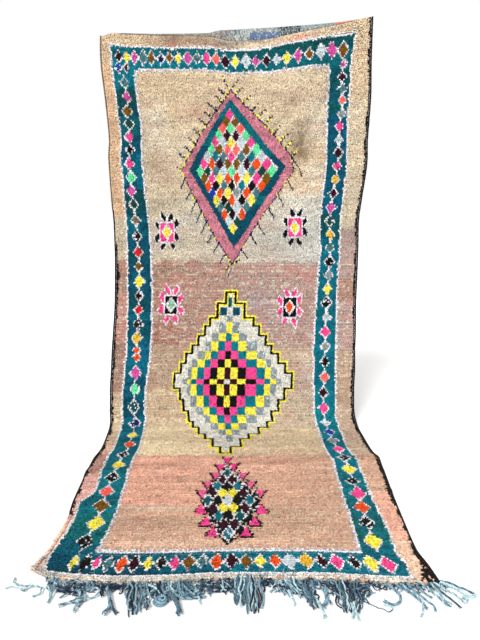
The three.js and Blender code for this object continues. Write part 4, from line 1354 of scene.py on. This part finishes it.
# edges at the root, the middle and the tip, then strands, half thickness, tone
BUNDLES = (
    ("-413,-720 -341,-716", "-405,-795 -330,-785", "-380,-866 -318,-842", 17, 3.0, 1.3),
    ("-13,-686 35,-686", "-28,-750 30,-755", "-28,-815 34,-866", 12, 3.4, 1),
    ("25,-686 76,-686", "32,-750 76,-745", "30,-862 74,-846", 10, 3.4, 2),
    ("327,-710 418,-712", "333,-785 420,-785", "342,-846 392,-852", 20, 3.2, 2.3),
    ("205,-708 262,-710", "215,-760 262,-765", "238,-815 268,-822", 10, 3.2, 2),
    ("150,-704 215,-706", "165,-735 225,-745", "185,-772 240,-790", 10, 3.2, 2),
    ("-330,-718 -262,-716", "-318,-765 -250,-765", "-300,-800 -240,-800", 10, 3.2, 2.4),
    ("-262,-716 -150,-712", "-250,-755 -150,-750", "-225,-795 -140,-785", 14, 3.2, 2.5),
)
# from and to across the floor, depth, number of curls, tone
CURLS = (
    (-700, -610, 32, 30, 2), (-625, -530, 56, 50, 3), (-535, -425, 24, 44, 3), (-425, -335, 12, 16, 3),
    (-335, -250, 56, 50, 2), (-250, -140, 66, 70, 2), (-140, -20, 44, 84, 3), (-20, 80, 24, 26, 2),
    (80, 122, 12, 16, 4), (120, 215, 50, 50, 2), (200, 330, 34, 44, 3), (325, 450, 55, 64, 3),
    (450, 560, 9, 26, 3), (560, 740, 14, 44, 3),
)
STRIP_FROM, STRIP_TO, STRIP_WIDE = 0.055, 0.992, 12.0
fringe_random = np.random.default_rng(131)
RAG_TONES = ("#b3ced1", "#7f9fad", "#536f7d", "#384a5a", "#1c2536")
print("bundles", len(BUNDLES), "stretches of curls", len(CURLS))

# %% [markdown]
# Torn cotton rag: matt, mottled paler and darker by a noise, refractive index 1.53. Five tones run from pale
# mint to navy, as old denim and shirting do. The noise is about 4 mm, coarser than a thread so that it shows.

# %% Rag materials
def rag_material(name, hex_value):
    made, tree = new_material(name)
    where = node(tree, "TexCoord")
    threads = node(tree, "TexNoise", inputs={
        "Vector": where.outputs["Object"], "Scale": 260.0, "Detail": 2.0})
    shade = node(tree, "ValToRGB", inputs={"Fac": threads.outputs["Fac"]})
    shade.color_ramp.elements[0].position = 0.34
    shade.color_ramp.elements[1].position = 0.68
    shade.color_ramp.elements[0].color = (*(linear(hex_value) * 0.5), 1)
    shade.color_ramp.elements[1].color = (*np.clip(linear(hex_value) * 1.35, 0, 1), 1)
    relief_of = node(tree, "Bump", inputs={
        "Strength": 0.6, "Distance": 0.8 * MM, "Height": threads.outputs["Fac"]})
    surface = node(tree, "BsdfPrincipled", inputs={
        "Base Color": shade.outputs["Color"], "Roughness": 0.9, "IOR": 1.53,
        "Specular IOR Level": 0.15, "Sheen Weight": 0.05, "Normal": relief_of.outputs["Normal"]})
    node(tree, "OutputMaterial", inputs={"Surface": surface.outputs["BSDF"]})
    return made

curve = bpy.data.curves.new("fringe_strands", "CURVE")
curve.dimensions = "3D"
curve.bevel_depth = 1.0 * MM
curve.bevel_resolution = 1
curve.use_fill_caps = True
for tone, hex_value in enumerate(RAG_TONES):
    curve.materials.append(rag_material(f"torn_cotton_rag_{tone + 1}", hex_value))
print("rags", [made.name for made in curve.materials])

# %% [markdown]
# These tools lay a strand through points, round off a path between its places, make it knobbly, and
# twist three strands into a cord. A strand never sinks into the floor.

# %% Strands and cords
PILE_TOP = 13.0

def strand(points, radii, tone):
    spline = curve.splines.new("POLY")
    spline.points.add(len(points) - 1)
    points = np.column_stack([points[:, :2], np.maximum(points[:, 2], radii)]) * MM
    spline.points.foreach_set("co", np.column_stack([points, np.ones(len(points))]).ravel())
    spline.points.foreach_set("radius", np.asarray(radii, float))
    spline.material_index = int(np.clip(round(tone), 0, len(RAG_TONES) - 1))
    spline.use_smooth = True

def rounded_path(points, spacing=6.0):
    padded = np.vstack([2 * points[0] - points[1], points, 2 * points[-1] - points[-2]])
    out = []
    for a, b, c, d in zip(padded, padded[1:], padded[2:], padded[3:]):
        count = max(2, int(np.linalg.norm(c - b) / spacing))
        for t in np.arange(count) / count:
            out.append(0.5 * (2 * b + (c - a) * t + (2 * a - 5 * b + 4 * c - d) * t ** 2
                              + (3 * b - a - 3 * c + d) * t ** 3))
    return np.array(out + [points[-1]])

def knobbly(path, spacing, jitter):
    line = rounded_path(path, spacing)
    return line + fringe_random.normal(0, jitter, line.shape)

def cord(path, thick, tone, level=0.0, strands=3):
    line = rounded_path(path)
    ahead = np.gradient(line, axis=0)
    ahead /= np.linalg.norm(ahead, axis=1, keepdims=True) + 1e-9
    aside = np.stack([-ahead[:, 1], ahead[:, 0]], 1)
    run = np.concatenate([[0], np.cumsum(np.linalg.norm(np.diff(line, axis=0), axis=1))])
    share = run / run[-1]
    own = fringe_random.uniform(0, 6)
    apart = thick * (0.52 if strands > 1 else 0) * (1 + 1.3 * np.clip((share - 0.82) / 0.18, 0, 1))
    hump = level * (1 - 0.55 * share) * (0.75 + 0.25 * np.sin(share * 7 + own))
    for i in range(strands):
        angle = run / (thick * 6.5) * 2 * math.pi + 2 * math.pi * i / strands + own
        size = thick * (0.6 if strands > 1 else 1.0) * (1 - 0.35 * share ** 3)
        across = line + aside * (apart * np.cos(angle))[:, None]
        height = hump + thick * 1.05 + apart * np.sin(angle) * 0.9
        strand(np.column_stack([across, height]), size, tone + fringe_random.choice([-1, 0, 0, 1]))

for thick, tone, path in lying_cords:
    cord(knobbly(path, 15, 1.3), thick, tone, fringe_random.uniform(4, 10))
for thick, tone, text in CORDS_ON_PILE:
    cord(path_of(text), thick, tone, PILE_TOP, strands=2)
print("strands in the cords", len(curve.splines))

# %% [markdown]
# A bundle has an edge at its root, its middle and its tip, and its strands run from edge to edge, each a
# little aside and cut to its own length. Every third one lies under the others in a darker tone, which paints
# the shade between the strands.

# %% Bundles of strands
def bundle(root, middle, tip, strands, thick, tone):
    root, middle, tip = path_of(root), path_of(middle), path_of(tip)
    for i in range(strands):
        share = (i + fringe_random.uniform(-0.6, 0.6)) / (strands - 1)
        places = [a + (b - a) * np.clip(share + fringe_random.normal(0, 0.05), -0.04, 1.04)
                  for a, b in (root, middle, tip)]
        places[2] = places[1] + (places[2] - places[1]) * fringe_random.uniform(0.62, 1.04)
        sway = fringe_random.normal(0, 6, 2)
        halfway = [(a + b) / 2 for a, b in zip(places, places[1:])]
        path = np.array([places[0], halfway[0] + sway, places[1], halfway[1] - sway, places[2]])
        under_as_painted_shade = i % 3 == 0
        line = knobbly(path, 17, 2.6)
        own_thick = thick * fringe_random.uniform(0.75, 1.25)
        # A strand underneath is a darker tone, as painted shade.
        own_tone = tone + (1.5 if under_as_painted_shade else fringe_random.normal(-0.2, 0.9))
        level = 0.0 if under_as_painted_shade else fringe_random.uniform(2, 12)
        cord(line, own_thick, own_tone, level, strands=1)

for settings in BUNDLES:
    bundle(*settings)
print("strands with the bundles", len(curve.splines))

# %% [markdown]
# A curl starts anywhere along its stretch of the foot and takes four short steps, turning at random.

# %% Curls along the foot
CURL_STEP = 8

def foot_along(across):
    return row_along(across, np.ones_like(across), 0.0)

across_foot = np.linspace(0, 1, 120)
foot_line = place(across_foot, foot_along(across_foot) + STRIP_WIDE * 0.6, 0.0) / MM

def curls(start, end, depth, count, tone):
    for _ in range(count):
        x = fringe_random.uniform(start, end)
        at = np.array([x, np.interp(x, foot_line[:, 0], foot_line[:, 1]) - fringe_random.uniform(0, depth)])
        heading, path = fringe_random.uniform(0, 2 * math.pi), [at]
        for _ in range(4):
            heading += fringe_random.normal(0, 0.9)
            at = at + CURL_STEP * np.array([math.cos(heading), math.sin(heading)])
            path.append(at)
        cord(np.array(path), fringe_random.uniform(1.7, 3.2), tone + fringe_random.normal(0.2, 1.1),
             fringe_random.uniform(0, 9), strands=1)

for settings in CURLS:
    curls(*settings)
print("strands with the curls", len(curve.splines))

# %% [markdown]
# A rag wound up into a round knot stands beside the comb. Each turn of it is a ring at its own height.

# %% A rag wound into a knot
BALL_X, BALL_Y, BALL_RADIUS = -286, -803, 22

for turn in range(9):
    tilt = math.radians(-10 + 11 * turn)
    around = np.linspace(0, 2 * math.pi, 17) + turn
    ring_size = BALL_RADIUS * math.cos(tilt * 0.85)
    ball = np.column_stack([
        BALL_X + 1.25 * turn + ring_size * np.cos(around),
        BALL_Y + ring_size * 0.9 * np.sin(around),
        5 + 15 * math.sin(max(tilt, 0)) + 1.5 * np.sin(around * 2)])
    strand(ball, np.full(17, 3.2), 1 + (turn % 3 == 0))
print("strands in all", len(curve.splines))

# %% [markdown]
# The curve is turned into a mesh, since the finished rug has to be plain meshes.

# %% Join the fringe
curve_object = add_object("fringe_strands", curve)
bpy.context.view_layer.update()
evaluated = curve_object.evaluated_get(bpy.context.evaluated_depsgraph_get())
fringe_mesh = bpy.data.meshes.new_from_object(evaluated)
fringe_mesh.name = "fringe_strands"
bpy.data.objects.remove(curve_object)
fringe = add_object("rag_fringe", fringe_mesh)
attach(fringe, "root")
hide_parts("warp_fringe")
print("fringe faces", len(fringe_mesh.polygons))

# %% [markdown]
# The strip that holds the fringe is a rolled hem of knotted rag and warp, 12 mm wide and lumpy.

# %% Knotted strip at the foot
STRIP_TONES = RAG_TONES + ("#d9cfc4", "#b79a96")
STRIP_SHARES = (0.06, 0.12, 0.2, 0.2, 0.14, 0.16, 0.12)

def knotted_strip():
    bm, grid = tube_grid(520, 8)
    across = STRIP_FROM + (STRIP_TO - STRIP_FROM) * grid[:, 0]
    angle = grid[:, 1] * 2 * math.pi
    lump = 1 + 0.22 * np.cos(across * 1500 / 13 * 2 * math.pi + angle) + 0.1 * np.cos(across * 290)
    along = foot_along(across) + 0.3 + 6.2 - 5.9 * np.cos(angle)
    lift = 4.0 + 3.4 * np.sin(angle) * lump
    move_verts(bm, place(across, along, lift))
    close_tube(bm)
    source = np.random.default_rng(141)

    def colour_of(co):
        tones = np.array([linear(value) for value in STRIP_TONES])
        return tones[source.choice(len(STRIP_TONES), len(co), p=STRIP_SHARES)] * 0.85

    mesh, colours = mesh_from(bm, "knotted_strip", colour_of)
    return finish_mesh("knotted_strip", mesh, web_wool, colours)

strip = knotted_strip()
print("strip faces", len(strip.data.polygons))
